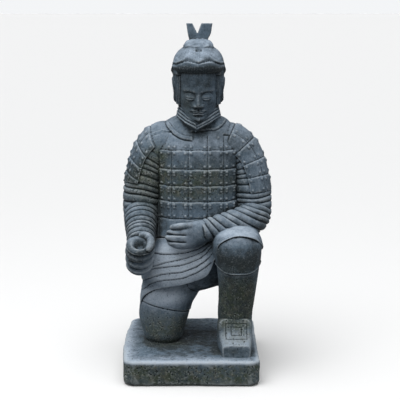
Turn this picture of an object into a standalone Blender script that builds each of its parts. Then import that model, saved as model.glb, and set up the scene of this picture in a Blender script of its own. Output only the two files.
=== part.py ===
"""Kneeling warrior garden statue.

One solid of dark stone: a bareheaded warrior in plate armour who kneels on the right knee, with
the low plinth that the figure is carved in one with. The figure looks along -Y. The origin is the
centre of the plinth's underside.

Each form, such as a sleeve or the robe, is a closed shell lofted through a few sections. All the
shells are joined to the plinth with one Boolean union.
"""

import math

import bmesh
import bpy
import numpy as np

# Driving sizes, in metres.
FIGURE_HEIGHT = 0.932  # from the plinth's top to the tips of the hair ribbons
PLINTH_WIDTH = 0.382
PLINTH_DEPTH = 0.467
PLINTH_HEIGHT = 0.072
PLINTH_CORNER = 0.030  # radius of its upright corners
PLINTH_EDGE = 0.008  # rounding of its top and bottom edges

# The figure's tables are in parts of its own height. There are this many, so that one part is a
# millimetre at the height above. Heights are counted from the plinth's top, and sides from the
# figure's own centre line, which stands a little to one side of the plinth's.
FIGURE_PARTS = 932.0
PART = FIGURE_HEIGHT / FIGURE_PARTS
MIDDLE = 17.0
SINK = -6.0  # the knee, the foot and the boot start this far below the plinth's top

SKIN_TRIANGLES = 9600  # how many the finished skin has
SHARP_ANGLE = math.radians(32)  # edges sharper than this are shaded as edges


def smooth(table, keys):
    """The columns of a table read at some keys, along smooth curves. Its first column is the key."""
    table = np.array(table, float)
    keys = np.asarray(keys, float)
    known, values = table[:, 0], table[:, 1:]
    slopes = np.gradient(values, known, axis=0)
    i = np.clip(np.searchsorted(known, keys, side="right") - 1, 0, len(known) - 2)
    width = (known[i + 1] - known[i])[:, None]
    f = (keys[:, None] - known[i][:, None]) / width
    return (
        (2 * f**3 - 3 * f**2 + 1) * values[i]
        + (f**3 - 2 * f**2 + f) * width * slopes[i]
        + (3 * f**2 - 2 * f**3) * values[i + 1]
        + (f**3 - f**2) * width * slopes[i + 1]
    )


def unit(vectors):
    return vectors / np.linalg.norm(vectors, axis=-1, keepdims=True)


def evenly(count):
    """Angles round a ring, in radians."""
    return np.arange(count) * 2 * math.pi / count


def knots(lines, width):
    """Both edges and the bottom of a groove on each line."""
    return np.array([line + step for line in lines for step in (-width, 0, width)])


def groove(values, lines, width, depth):
    """How far V grooves on these lines cut in."""
    nearest = np.min([np.abs(values - line) for line in lines], axis=0)
    return -depth * np.clip(1 - nearest / width, 0, 1)


def bump(x, z, at_x, at_z, wide, high):
    """A soft mound, 1 at its middle."""
    return np.exp(-(((x - at_x) / wide) ** 2) - ((z - at_z) / high) ** 2)


def ellipse(angles, power):
    """Points of a unit superellipse, as shares of its two half-widths."""
    c, s = np.cos(angles), np.sin(angles)
    share = 2.0 / power
    return np.sign(c) * np.abs(c) ** share, np.sign(s) * np.abs(s) ** share


def column(table, heights, angles, power=2.0, carve=None):
    """A grid of level rings. A row of the table is height, side, depth, half-width, half-depth.

    An angle of 0 is the viewer's right and a quarter turn is the front. carve(height, angle) says
    how far the surface stands out.
    """
    side, depth, wide, deep = (part[:, None] for part in smooth(table, heights).T)
    across, ahead = ellipse(angles, power)
    turn, height = np.meshgrid(angles, heights)
    out = carve(height, turn) if carve else 0.0
    return np.stack([side + (wide + out) * across, depth - (deep + out) * ahead, height], axis=2)


def tube(rows, places, angles, side=(1, 0, 0), power=2.0, carve=None, slant=0.0, along=None):
    """A grid of rings across a path. A row is x, y, z, half-width along side, other half-width.

    places run from 0 to 1 along the rows. carve(place, angle) says how far the surface stands out.
    slant moves one side of each ring along the path. The rings stand square to the path, or to a
    given direction.
    """
    keys = np.linspace(0, 1, len(rows))
    table = np.column_stack([keys, rows])
    turn, place = np.meshgrid(angles, places)
    shifted = np.clip(place + slant * np.sin(turn), 0, 1)
    flat = shifted.ravel()
    read = smooth(table, flat).reshape(*shifted.shape, 5)
    step = 0.01
    if along is None:
        along = unit((smooth(table, flat + step) - smooth(table, flat - step))[:, :3])
        along = along.reshape(*shifted.shape, 3)
    else:
        along = np.broadcast_to(unit(np.array(along, float)), (*shifted.shape, 3))
    side = np.array(side, float)
    sides = unit(side - (along @ side)[..., None] * along)
    others = np.cross(sides, along)
    across, ahead = ellipse(angles, power)
    out = carve(place, turn) if carve else 0.0
    wide = (read[..., 3] + out) * across
    high = (read[..., 4] + out) * ahead
    return read[..., :3] + wide[..., None] * sides + high[..., None] * others


def fold_places(start, end, folds):
    """Places along a sleeve where its folds crest and dip, one of each for every fold."""
    return np.linspace(start, end, 2 * folds + 1)


def wave(places, start, end, folds):
    """Folds between two places: 1 on a crest, -1 in a dip, and 0 outside."""
    inside = (places > start - 1e-6) & (places < end + 1e-6)
    return -np.cos(2 * math.pi * folds * (places - start) / (end - start)) * inside


def mirrored(grid):
    """The same grid on the other side of the figure's centre line."""
    return grid * np.array([-1, 1, 1])


def shell(name, grid):
    """A closed mesh from a grid of rings, capped at both ends."""
    rings, segments = grid.shape[:2]
    points = (grid + np.array([MIDDLE, 0, 0])).reshape(-1, 3) * PART
    build = bmesh.new()
    vertices = [build.verts.new((x, y, z + PLINTH_HEIGHT)) for x, y, z in points]
    rows = [vertices[r * segments : (r + 1) * segments] for r in range(rings)]
    for low, high in zip(rows, rows[1:]):
        for s in range(segments):
            t = (s + 1) % segments
            build.faces.new([low[s], low[t], high[t], high[s]])
    for row in (rows[0], rows[-1]):
        tip = build.verts.new(sum((v.co for v in row), row[0].co * 0) / segments)
        for s in range(segments):
            build.faces.new([row[s], row[(s + 1) % segments], tip])
    bmesh.ops.triangulate(build, faces=build.faces)
    bmesh.ops.recalc_face_normals(build, faces=build.faces)
    return helper(name, build)


def helper(name, build):
    """A hidden shell in the collection that the union takes in."""
    mesh = bpy.data.meshes.new(name)
    build.to_mesh(mesh)
    build.free()
    found = bpy.data.objects.new(name, mesh)
    found.hide_render = True
    found.display_type = "WIRE"
    bpy.data.collections["forms"].objects.link(found)
    return found


# The armour on the trunk. Its plates stand in rows and columns with a groove between them.
TRUNK = [
    (319, 0, 48, 138, 120),
    (374, 0, 42, 125, 104),
    (423, 0, 39, 119, 96),
    (469, 0, 40, 120, 95),
    (517, 0, 43, 125, 96),
    (571, 0, 48, 130, 91),
    (600, 0, 52, 122, 78),
    (625, 0, 55, 104, 64),
    (643, 0, 56, 80, 54),
    (660, 0, 54, 60, 48),
]
TRUNK_POWER = 2.7
PLATE_ROWS = (374, 423, 469, 517, 571)
PLATE_COLUMNS = (27.0, 75.0)  # from the centre line, on the front and on the back
PLATE_GROOVE = 3.0
PLATE_DEPTH = 3.0
PLATE_LEAN = 2.5  # the top edge of a plate stands out this far
FLANK = np.radians([-30, 0, 30])  # where the rings turn the trunk's sides


def plate_joints():
    """The angles of the trunk's column joints."""
    half = TRUNK[4][3]
    first = np.array([math.acos((x / half) ** (TRUNK_POWER / 2)) for x in PLATE_COLUMNS])
    return np.concatenate([first, math.pi - first, math.pi + first, 2 * math.pi - first])


def lean(values, lines, amount):
    """How far plates between these lines stand out, from nothing at the low end to all at the top."""
    lines = np.array(lines, float)
    i = np.clip(np.searchsorted(lines, values, side="left") - 1, 0, len(lines) - 2)
    return amount * np.clip((values - lines[i]) / (lines[i + 1] - lines[i]), 0, 1)


def trunk():
    joints = plate_joints()
    joint_width = 0.035
    heights = [TRUNK[0][0], *knots(PLATE_ROWS, PLATE_GROOVE), 592, 612, 632, 648, 660]
    angles = np.array(sorted([*knots(joints, joint_width), *FLANK, *(FLANK + math.pi)]))
    lines = (TRUNK[0][0], *PLATE_ROWS, 640)

    def carve(height, turn):
        edges = groove(height, PLATE_ROWS, PLATE_GROOVE, PLATE_DEPTH)
        seams = groove(turn, joints, joint_width, PLATE_DEPTH * 0.7)
        return lean(height, lines, PLATE_LEAN) + edges + seams * (height < 600)

    shell("trunk", column(TRUNK, heights, angles, TRUNK_POWER, carve))


# The upper arms, from inside the trunk over the shoulder and down to the elbow.
UPPER_ARM = [
    (20, 52, 578, 50, 50),
    (62, 51, 582, 60, 57),
    (100, 48, 568, 62, 58),
    (130, 44, 535, 60, 57),
    (147, 39, 495, 58, 54),
    (157, 33, 450, 56, 53),
    (163, 28, 405, 53, 52),
    (163, 24, 372, 50, 50),
]
ARM_SHIFT = (-3, 0, 3)  # the other arm is carved a little further out and up
GUARD = (0.10, 0.69)  # the shoulder guard's stretch of the arm
GUARD_ROWS = 5
GUARD_THICK = 8.0
GUARD_EDGES = (math.radians(176), math.radians(364))  # its front edge and its back edge
GUARD_COLUMNS = 4
ARM_FOLDS = (0.42, 0.90, 5)  # where the sleeve's folds start and end, and how many


def upper_arm():
    places = [0, 0.15, 0.3, *fold_places(*ARM_FOLDS), 1.0]

    def folds(place, turn):
        return 2.2 * wave(place, *ARM_FOLDS)

    return tube(UPPER_ARM, places, evenly(12), (0, 1, 0), carve=folds)


def shoulder_guard():
    """A curved sheet of plates over the outside of the arm."""
    start, end = GUARD
    rows = np.linspace(start, end, GUARD_ROWS + 1)
    columns = np.linspace(*GUARD_EDGES, GUARD_COLUMNS + 1)
    width, joint_width = 0.007, 0.05
    places = [start, *knots(rows[1:-1], width), end]
    angles = [columns[0], *knots(columns[1:-1], joint_width), columns[-1]]

    def plates(place, turn):
        thick = GUARD_THICK * np.clip(0.3 + (place - start) * 10, 0, 1)
        edges = groove(place, rows[1:-1], width, 3.0)
        seams = groove(turn, columns[1:-1], joint_width, 2.2)
        return thick + lean(-place, sorted(-rows), 2.0) + edges + seams

    outer = tube(UPPER_ARM, places, angles, (0, 1, 0), carve=plates)
    inner = tube(UPPER_ARM, places, angles[::-3], (0, 1, 0), carve=lambda place, turn: -14.0)
    return np.concatenate([outer, inner], axis=1)


# The forearms. The one on the viewer's right lies across the belly, the other points forward.
FOREARM_ACROSS = [
    (158, 20, 388, 49, 49),
    (167, 6, 374, 50, 50),
    (150, -30, 366, 47, 46),
    (102, -66, 360, 40, 40),
    (50, -92, 353, 33, 34),
    (10, -106, 348, 29, 28),
]
ACROSS_FOLDS = (0.34, 0.98, 7)
ACROSS_SLANT = 0.045
FOREARM_AHEAD = [
    (-164, 36, 400, 51, 51),
    (-166, 10, 384, 51, 51),
    (-167, -30, 355, 47, 47),
    (-167, -60, 333, 44, 44),
    (-167, -74, 324, 41, 41),
]
AHEAD_FOLDS = (0.16, 1.0, 8)


def forearm_across():
    places = [0, 0.12, 0.24, *fold_places(*ACROSS_FOLDS), 1.0]

    def folds(place, turn):
        return 2.4 * wave(place, *ACROSS_FOLDS)

    return tube(FOREARM_ACROSS, places, evenly(12), (0, 1, 0), carve=folds, slant=ACROSS_SLANT)


def forearm_ahead():
    places = [0, *fold_places(*AHEAD_FOLDS)]

    def folds(place, turn):
        return 1.6 * wave(place, *AHEAD_FOLDS)

    return tube(FOREARM_AHEAD, places, evenly(12), carve=folds)


def finger(name, points, radius):
    """A rounded rod along a few points."""
    ends = [0.7] + [1.0] * (len(points) - 2) + [0.5]
    rows = [(*p, radius * e, radius * e) for p, e in zip(points, ends)]
    places = [0, 0.17, 0.34, 0.5, 0.67, 0.85, 1]
    shell(name, tube(rows, places, evenly(7), (0, 0, 1)))


def resting_hand():
    """The hand at the belly: its back to the viewer, the fingers one above the other."""
    palm = [
        (30, -98, 348, 26, 22),
        (8, -110, 346, 31, 23),
        (-20, -117, 339, 38, 22),
        (-42, -114, 333, 37, 18),
        (-56, -106, 330, 30, 14),
    ]
    shell("palm", tube(palm, np.linspace(0, 1, 7), evenly(12), (0, 0, 1), 2.4))
    tips = ((-86, 352), (-91, 335), (-89, 318), (-80, 302))
    for number, (tip, height) in enumerate(tips):
        knuckles = [(-26, -122, height + 1), (-48, -129, height), (-70, -124, height)]
        finger(f"finger_{number}", [*knuckles, (tip, -107, height)], 10.5)
    finger("thumb", [(8, -116, 364), (-24, -125, 369), (-52, -123, 370), (-80, -110, 368)], 10.0)


# The hand at the viewer's left is a fist round an empty socket that points up and forward.
FIST = [
    (-169, -84, 226, 22, 24),
    (-169, -87, 231, 33, 33),
    (-169, -92, 241, 37, 38),
    (-168, -97, 252, 34, 35),
    (-168, -102, 262, 39, 40),
    (-168, -107, 272, 36, 37),
    (-167, -112, 283, 41, 42),
    (-166, -116, 291, 38, 39),
    (-165, -123, 304, 42, 42),
    (-164, -129, 317, 37, 37),
    (-163, -131, 321, 28, 28),
    (-163, -130, 318, 19, 19),
    (-163, -126, 310, 14, 14),
    (-163, -118, 294, 11, 11),
]
FIST_AXIS = (0, -0.45, 0.9)


def fist():
    shell("fist", tube(FIST, np.linspace(0, 1, len(FIST)), evenly(12), along=FIST_AXIS))
    wrist = [(-167, -50, 335, 30, 30), (-167, -98, 300, 28, 30)]
    shell("wrist", tube(wrist, [0, 1], evenly(8)))
    thumb = [(-133, -106, 326), (-130, -134, 315), (-134, -156, 301), (-141, -166, 291)]
    finger("fist_thumb", thumb, 9.5)


# The robe over the lap. Stations go round from the outside of the kneeling thigh to the outside of
# the raised one. Each joins a point of the waist to a point of the hem, x, y, z and x, y, z.
LAP = [
    (-104, 118, 290, -124, 150, 110),
    (-124, 84, 292, -156, 104, 98),
    (-130, 55, 297, -167, 55, 96),
    (-127, 12, 305, -172, -4, 100),
    (-113, -38, 314, -158, -46, 142),
    (-80, -62, 320, -107, -80, 172),
    (-36, -72, 322, -52, -92, 184),
    (10, -74, 328, 4, -94, 190),
    (42, -72, 345, 34, -108, 218),
    (62, -68, 362, 48, -136, 288),
    (80, -62, 364, 56, -160, 336),
    (108, -52, 364, 108, -178, 357),
    (144, -40, 358, 160, -162, 338),
    (160, -6, 346, 184, -112, 308),
    (158, 30, 328, 184, -40, 274),
    (146, 70, 308, 172, 34, 232),
    (122, 104, 296, 142, 92, 204),
    (84, 130, 292, 84, 128, 184),
]
LAP_CORE = [
    (-70, 70, 220),
    (-62, 30, 226),
    (0, 10, 250),
    (62, 0, 290),
    (108, -60, 300),
    (96, 20, 270),
    (60, 60, 240),
]
LAP_FOLDS = 7
FOLD_DEPTH = 4.5
FOLDS_FADE = (0.48, 0.60)  # the stations over which the folds run out, at the raised knee
SWELL = (13.0, 7.0)  # how far the cloth stands out between waist and hem, before and on that knee
HEM_THICK = 12.0


def lap():
    stations = np.linspace(0, 1, 25)
    read = smooth(np.column_stack([np.linspace(0, 1, len(LAP)), LAP]), stations)
    waist, hem = read[:, None, :3], read[:, None, 3:]
    core = smooth(np.column_stack([np.linspace(0, 1, len(LAP_CORE)), LAP_CORE]), stations)[:, None]
    folds = np.linspace(0.34, 1.0, LAP_FOLDS + 1)
    lip = 0.022
    shares = np.array([0, 0.17, *(share for fold in folds[:-1] for share in (fold, fold + lip)), 1.0])
    # Each fold laps over the next one up, so its crest is just below its groove.
    cut = np.array([0, 0, *[-0.6, 0.4] * LAP_FOLDS, 0.0]) * FOLD_DEPTH
    fade = np.clip((FOLDS_FADE[1] - stations) / (FOLDS_FADE[1] - FOLDS_FADE[0]), 0, 1)
    surface = waist + (hem - waist) * shares[None, :, None]
    swell = SWELL[1] + (SWELL[0] - SWELL[1]) * fade
    out = swell[:, None] * np.sin(math.pi * shares) + cut * fade[:, None]
    surface = surface + unit(surface - core) * out[..., None]
    under = hem + unit(core - hem) * HEM_THICK
    shell("lap", np.concatenate([surface, under, core], axis=1))


# The seat: the hips, the crotch between the legs and the back of the robe, down over the heel.
SEAT = [
    (152, -2, 56, 100, 84),
    (160, -3, 58, 120, 104),
    (185, -4, 58, 134, 118),
    (230, 0, 57, 140, 122),
    (280, 0, 54, 138, 122),
    (330, 0, 46, 126, 110),
]
SEAT_PLEATS = 7
SEAT_DROP = 44.0  # how far the hem hangs lower over the tucked heel


def seat():
    heights = [152, 160, 185, 215, 245, 285, 325]

    def pleats(height, turn):
        depth = np.clip((300 - height) / 100, 0, 1) * np.clip(-np.sin(turn) * 2, 0, 1)
        return 3.5 * depth * np.cos(turn * 2 * SEAT_PLEATS)

    grid = column(SEAT, heights, evenly(4 * SEAT_PLEATS), 2.4, pleats)
    x, y, z = grid[..., 0], grid[..., 1], grid[..., 2]
    drop = np.clip(-x / 50, 0, 1) * np.clip((y - 60) / 70, 0, 1)
    grid[..., 2] -= SEAT_DROP * drop * np.clip((245 - z) / 90, 0, 1)
    shell("seat", grid)


# The kneeling leg: the column from the ground up to the hip, the calf and the tucked foot.
KNEELING = [
    (SINK, -103, 0, 44, 47),
    (15, -102, -1, 54, 55),
    (40, -101, -1, 61, 59),
    (75, -100, -1, 72, 62),
    (97, -98, 1, 76, 64),
    (127, -92, 4, 77, 68),
    (170, -86, 12, 76, 74),
    (230, -76, 30, 74, 80),
    (290, -62, 50, 70, 80),
]
CALF = [(-99, 0, 50, 50, 48), (-97, 70, 55, 46, 50), (-95, 140, 76, 38, 42), (-94, 190, 98, 28, 30)]
FOOT = [
    (-94, 186, 128, 22, 18),
    (-94, 190, 112, 31, 27),
    (-94, 192, 80, 33, 29),
    (-95, 196, 40, 36, 25),
    (-96, 200, 14, 39, 27),
    (-96, 200, SINK, 38, 27),
]


def kneeling_leg():
    """The trouser ends in a step that slants across the knee."""
    heights = [SINK, 4, 18, 36, 56, 76, 90, 99, 103, 108, 127, 155, 200, 245, 285]

    def cuff(height, turn):
        seam = 101 + 8 * -np.cos(turn)
        return 3.0 * np.clip((height - seam) / 4, -1, 1)

    shell("knee_column", column(KNEELING, heights, evenly(16), 2.1, cuff))
    shell("calf", tube(CALF, np.linspace(0, 1, 6), evenly(12)))
    shell("tucked_foot", tube(FOOT, np.linspace(0, 1, 9), evenly(12), power=2.6))


# The raised leg: the thigh, the knee in its trouser, and the boot.
THIGH = [
    (52, 96, 290, 74, 66),
    (72, 30, 300, 70, 66),
    (92, -40, 300, 68, 61),
    (108, -96, 304, 65, 54),
    (112, -128, 304, 56, 50),
    (112, -152, 304, 34, 34),
]
SHIN = [
    (SINK, 108, -95, 42, 40),
    (60, 108, -95, 48, 46),
    (105, 108, -93, 50, 49),
    (152, 112, -98, 52, 53),
    (211, 115, -105, 57, 60),
    (250, 115, -112, 61, 65),
    (296, 112, -115, 68, 67),
    (325, 112, -114, 66, 62),
    (348, 111, -112, 46, 46),
    (356, 110, -112, 26, 26),
]
TROUSER_END = 246.0
BOOT_FOOT = [
    (108, -40, 22, 37, 28),
    (108, -46, 34, 44, 40),
    (108, -66, 46, 49, 52),
    (108, -100, 48, 50, 54),
    (109, -135, 38, 46, 44),
    (111, -160, 25, 42, 31),
    (113, -182, 15.5, 38.5, 21.5),
    (113, -190, 14, 36, 20),
]


def raised_leg():
    heights = [SINK, 60, 110, 152, 196, 238, 246, 268, 292, 318, 338, 350, 356]

    def cuff(height, turn):
        dip = 10 * np.abs(np.cos(turn))
        return 3.0 * np.clip((height - TROUSER_END - dip + 3) / 3, 0, 1)

    shell("thigh", tube(THIGH, np.linspace(0, 1, 9), evenly(16)))
    shell("shin", column(SHIN, heights, evenly(18), 2.1, cuff))
    corners = evenly(12) + math.pi / 12
    places = np.linspace(0, 1, 9)
    shell("boot_foot", tube(BOOT_FOOT, places, corners, power=4.5, along=(0, -1, 0)))


# The head, in its own upright frame, which is then bowed. Its face is a general one.
HEAD_PLACE = (2.0, 20.0, 745.0)
HEAD_BOW = math.radians(10)
HEAD = [
    (-84, 0, -34, 20, 30),
    (-76, 0, -24, 34, 46),
    (-60, 0, -12, 47, 58),
    (-38, 0, -4, 54, 66),
    (-12, 0, 0, 58, 72),
    (20, 0, 2, 59, 75),
    (60, 0, 2, 58, 74),
]
HAIR = [
    (-46, 0, 40, 50, 36),
    (-30, 0, 33, 59, 48),
    (-10, 0, 26, 63, 56),
    (22, 0, 12, 67, 70),
    (34, 0, 2, 70, 80),
    (46, 0, 2, 74, 83),
    (55, 0, 2, 77, 86),
    (64, 0, 2, 74, 83),
    (78, 0, 4, 72, 79),
    (94, 0, 8, 66, 70),
    (106, 0, 12, 56, 58),
    (114, 0, 16, 42, 44),
    (122, 0, 18, 43, 43),
    (130, 0, 20, 39, 40),
    (138, 0, 21, 30, 30),
    (142, 0, 21, 18, 18),
]


def bowed(grid):
    """A grid from the head's frame to the figure's."""
    c, s = math.cos(HEAD_BOW), math.sin(HEAD_BOW)
    x, y, z = grid[..., 0], grid[..., 1], grid[..., 2]
    return np.stack([x, y * c - z * s, y * s + z * c], axis=-1) + np.array(HEAD_PLACE)


def face_relief(x, z):
    """How far the features stand ahead of the plain head."""
    spread = np.abs(x)
    nose = 14 * bump(x, z, 0, -32, 10, 9) + 9 * bump(x, z, 0, -14, 7, 16)
    brow = 4.5 * bump(spread, z, 26, 8, 20, 5)
    socket = -7 * bump(spread, z, 25, -6, 15, 9)
    lid = 4 * bump(spread, z, 26, -7, 11, 5)
    cheek = 3 * bump(spread, z, 36, -26, 14, 13)
    lips = 6 * bump(x, z, 0, -50, 15, 4) + 5 * bump(x, z, 0, -59, 13, 4)
    chin = 6 * bump(x, z, 0, -76, 13, 8)
    return nose + brow + socket + lid + cheek + lips + chin


def head():
    heights = [-84, -77, -68, -61, -54, -48, -40, -32, -24, -16, -8, 0, 8, 20, 40, 60]
    front = np.radians([38, 50, 60, 68, 76, 83, 90, 97, 104, 112, 120, 130, 142])
    angles = [0, *front, math.pi, *np.radians([216, 252, 288, 324])]
    grid = column(HEAD, heights, np.array(angles), 2.2)
    ahead = grid[..., 1] < 0
    grid[..., 1] -= face_relief(grid[..., 0], grid[..., 2]) * ahead
    shell("head", bowed(grid))


def hair():
    heights = [-46, -30, 0, 30, 44, 50, 59, 65, 80, 95, 107, 114, 118, 127, 135, 140]
    grid = column(HAIR, heights, evenly(18), 2.1)
    # Below its rolled rim the hair keeps to the back of the head.
    low = np.clip((44 - grid[..., 2]) / 8, 0, 1)
    grid[..., 1] = np.where(grid[..., 1] < 6, grid[..., 1] + (6 - grid[..., 1]) * low, grid[..., 1])
    shell("hair", bowed(grid))
    for side in (-1, 1):
        panel = [
            (side * 60, -4, -47, 8, 13),
            (side * 62, -4, -30, 9, 15),
            (side * 63, -5, 0, 9, 17),
            (side * 66, -8, 22, 9, 20),
            (side * 66, -8, 34, 8, 20),
        ]
        grid = tube(panel, np.linspace(0, 1, 7), evenly(8), power=3.5, along=(0, 0, 1))
        shell("side_lock", bowed(grid))


def ribbons():
    """Two flat ribbon ends that stand up from the bun in a V."""
    for side, tip in ((-1, -21.0), (1, 24.0)):
        root = 2 + side * 13
        rows = [
            (root, 44, 868, 16, 8),
            (root + side * 2, 44, 884, 15.5, 7),
            (tip - side * 2, 42, 920, 16.5, 6),
            (tip, 41, 932, 15, 5.5),
        ]
        corners = evenly(4) + math.pi / 4
        shell("ribbon", tube(rows, np.linspace(0, 1, 4), corners, power=6, along=(0, 0, 1)))


# The scarf: rolls wound round the neck that dip to a point in front.
SCARF = [
    (640, 2, 30, 70, 82),
    (652, 2, 32, 67, 76),
    (664, 2, 33, 65, 70),
    (676, 2, 34, 62, 64),
    (690, 2, 34, 58, 58),
    (700, 2, 34, 46, 46),
]
SCARF_ROLLS = 4
SCARF_DIP = 24.0


def scarf():
    low, high = SCARF[0][0], SCARF[-2][0]
    lines = np.linspace(low, high, SCARF_ROLLS + 1)
    width = (high - low) / SCARF_ROLLS / 3
    heights = [low - 14, *knots(lines, width)[1:], high + 10]

    def rolls(height, turn):
        return groove(height, lines, width, 6.0)

    grid = column(SCARF, heights, evenly(16), 2.0, rolls)
    ahead = np.clip((SCARF[0][2] - grid[..., 1]) / 60, 0, 1)
    grid[..., 2] -= SCARF_DIP * ahead * np.clip(1.15 - np.abs(grid[..., 0]) / 62, 0, 1)
    shell("scarf", grid)


def plinth():
    """The low block under the figure, its corners and edges rounded."""
    build = bmesh.new()
    bmesh.ops.create_cube(build, size=1.0)
    bmesh.ops.scale(build, vec=(PLINTH_WIDTH, PLINTH_DEPTH, PLINTH_HEIGHT), verts=build.verts)
    bmesh.ops.translate(build, vec=(0, 0, PLINTH_HEIGHT / 2), verts=build.verts)
    upright = [e for e in build.edges if abs(e.verts[0].co.z - e.verts[1].co.z) > PLINTH_HEIGHT / 2]
    bmesh.ops.bevel(build, geom=upright, offset=PLINTH_CORNER, segments=5, profile=0.5, affect="EDGES")
    level = [e for e in build.edges if abs(e.verts[0].co.z - e.verts[1].co.z) < PLINTH_HEIGHT / 2]
    bmesh.ops.bevel(build, geom=level, offset=PLINTH_EDGE, segments=2, profile=0.5, affect="EDGES")
    mesh = bpy.data.meshes.new("kneeling_warrior")
    build.to_mesh(mesh)
    build.free()
    found = bpy.data.objects.new("kneeling_warrior", mesh)
    bpy.context.scene.collection.objects.link(found)
    return found


def stone():
    material = bpy.data.materials.new("dark_stone")
    material.use_nodes = True
    surface = material.node_tree.nodes["Principled BSDF"]
    surface.inputs["Base Color"].default_value = (0.105, 0.130, 0.155, 1.0)
    surface.inputs["Roughness"].default_value = 0.8
    surface.inputs["Metallic"].default_value = 0.0
    return material


def evaluated(item):
    """A new mesh of the object with its modifiers applied."""
    graph = bpy.context.evaluated_depsgraph_get()
    mesh = bpy.data.meshes.new_from_object(item.evaluated_get(graph))
    item.modifiers.clear()
    return mesh


def skins_of(build):
    """The mesh's separate skins, each a list of its points."""
    skins, seen = [], set()
    for first in build.verts:
        if first in seen:
            continue
        seen.add(first)
        skin = [first]
        for vertex in skin:
            for edge in vertex.link_edges:
                other = edge.other_vert(vertex)
                if other not in seen:
                    seen.add(other)
                    skin.append(other)
        skins.append(skin)
    return skins


def carve_in_one(block, forms):
    """Joins the forms to the block and fills the bubbles shut in between them.

    The exact solver leaves open edges where folds cross, so the manifold one joins them.
    """
    union = block.modifiers.new("union", "BOOLEAN")
    union.operation = "UNION"
    union.operand_type = "COLLECTION"
    union.collection = forms
    union.solver = "MANIFOLD"
    mesh = evaluated(block)
    build = bmesh.new()
    build.from_mesh(mesh)
    skins = skins_of(build)
    outer = max(skins, key=len)
    inner = [vertex for skin in skins if skin is not outer for vertex in skin]
    bmesh.ops.delete(build, geom=inner, context="VERTS")
    build.to_mesh(mesh)
    build.free()
    block.data = mesh


def thin_out(statue):
    """Merges the flattest triangles until few enough are left."""
    statue.data.calc_loop_triangles()
    thin = statue.modifiers.new("thin", "DECIMATE")
    thin.ratio = min(1.0, SKIN_TRIANGLES / len(statue.data.loop_triangles))
    statue.data = evaluated(statue)


def shade(mesh):
    """Smooth over the round forms, sharp at grooves and edges."""
    mesh.polygons.foreach_set("use_smooth", [True] * len(mesh.polygons))
    mesh.set_sharp_from_angle(angle=SHARP_ANGLE)


def main():
    for old in list(bpy.data.objects):
        bpy.data.objects.remove(old, do_unlink=True)
    forms = bpy.data.collections.new("forms")
    bpy.context.scene.collection.children.link(forms)
    trunk()
    arm, guard = upper_arm(), shoulder_guard()
    for name, grid in (("upper_arm", arm), ("shoulder_guard", guard)):
        shell(f"{name}_right", grid)
        shell(f"{name}_left", mirrored(grid) + np.array(ARM_SHIFT))
    shell("forearm_across", forearm_across())
    shell("forearm_ahead", forearm_ahead())
    resting_hand()
    fist()
    lap()
    seat()
    kneeling_leg()
    raised_leg()
    head()
    hair()
    ribbons()
    scarf()
    statue = plinth()
    statue.data.materials.append(stone())
    carve_in_one(statue, forms)
    thin_out(statue)
    shade(statue.data)


main()
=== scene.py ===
"""Looks of the kneeling warrior statue: its fine carving, its weathered stone, the floor and the light.

Each form is lofted from the same sizes as the solid, many times finer, and carved by a relief that
says how far its surface stands out. The forms are then cut as four pieces that meet in creases of
the carving: the head, the armour with the arms, the robe with the legs, and the plinth.
"""

from math import atan2, cos, hypot, pi, radians, sin

import bmesh
import bpy
import numpy as np
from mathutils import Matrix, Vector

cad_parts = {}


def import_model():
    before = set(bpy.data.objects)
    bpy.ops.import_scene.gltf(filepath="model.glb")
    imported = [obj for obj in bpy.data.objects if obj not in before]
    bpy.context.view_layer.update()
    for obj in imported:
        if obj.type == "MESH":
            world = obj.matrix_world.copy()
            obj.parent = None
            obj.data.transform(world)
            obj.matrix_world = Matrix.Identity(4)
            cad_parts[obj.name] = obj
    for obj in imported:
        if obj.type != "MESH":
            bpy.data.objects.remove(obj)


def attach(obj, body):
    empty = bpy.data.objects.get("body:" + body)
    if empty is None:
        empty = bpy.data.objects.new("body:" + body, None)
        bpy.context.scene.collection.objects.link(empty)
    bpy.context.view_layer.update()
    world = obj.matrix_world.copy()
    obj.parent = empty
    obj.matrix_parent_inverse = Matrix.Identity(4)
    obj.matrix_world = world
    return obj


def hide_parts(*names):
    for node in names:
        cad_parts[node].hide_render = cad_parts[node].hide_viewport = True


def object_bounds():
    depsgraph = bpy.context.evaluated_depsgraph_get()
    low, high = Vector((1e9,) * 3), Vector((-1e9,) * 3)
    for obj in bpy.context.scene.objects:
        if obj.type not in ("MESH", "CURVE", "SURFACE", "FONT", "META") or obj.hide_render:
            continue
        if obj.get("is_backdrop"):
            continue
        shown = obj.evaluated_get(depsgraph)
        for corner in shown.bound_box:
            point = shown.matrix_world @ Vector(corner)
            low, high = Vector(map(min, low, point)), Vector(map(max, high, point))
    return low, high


NODE = "kneeling_warrior"

# Sizes of the solid, in metres.
FIGURE_HEIGHT = 0.932
PLINTH_WIDTH = 0.382
PLINTH_DEPTH = 0.467
PLINTH_HEIGHT = 0.072
PLINTH_CORNER = 0.030
PLINTH_EDGE = 0.008
PLINTH_FOOT = 0.012
PLINTH_BOW = 0.0105  # how far its side at the viewer's left is bowed out
BOW_HALF = 0.215  # half the bow's length

# The figure's tables are in parts of its own height, with heights counted from the plinth's top.
FIGURE_PARTS = 932
PART = FIGURE_HEIGHT / FIGURE_PARTS
MIDDLE = 17
SINK = -6

# How each piece is cut: the grain of its skin in metres, the triangles that are kept, the roughness.
CUT = {
    "warrior_head": (0.0010, 190000, 0),
    "warrior_armour": (0.0014, 195000, 0),
    "warrior_robe": (0.0014, 195000, 0),
    "plinth": (0.0020, 90000, 1),
}


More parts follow.
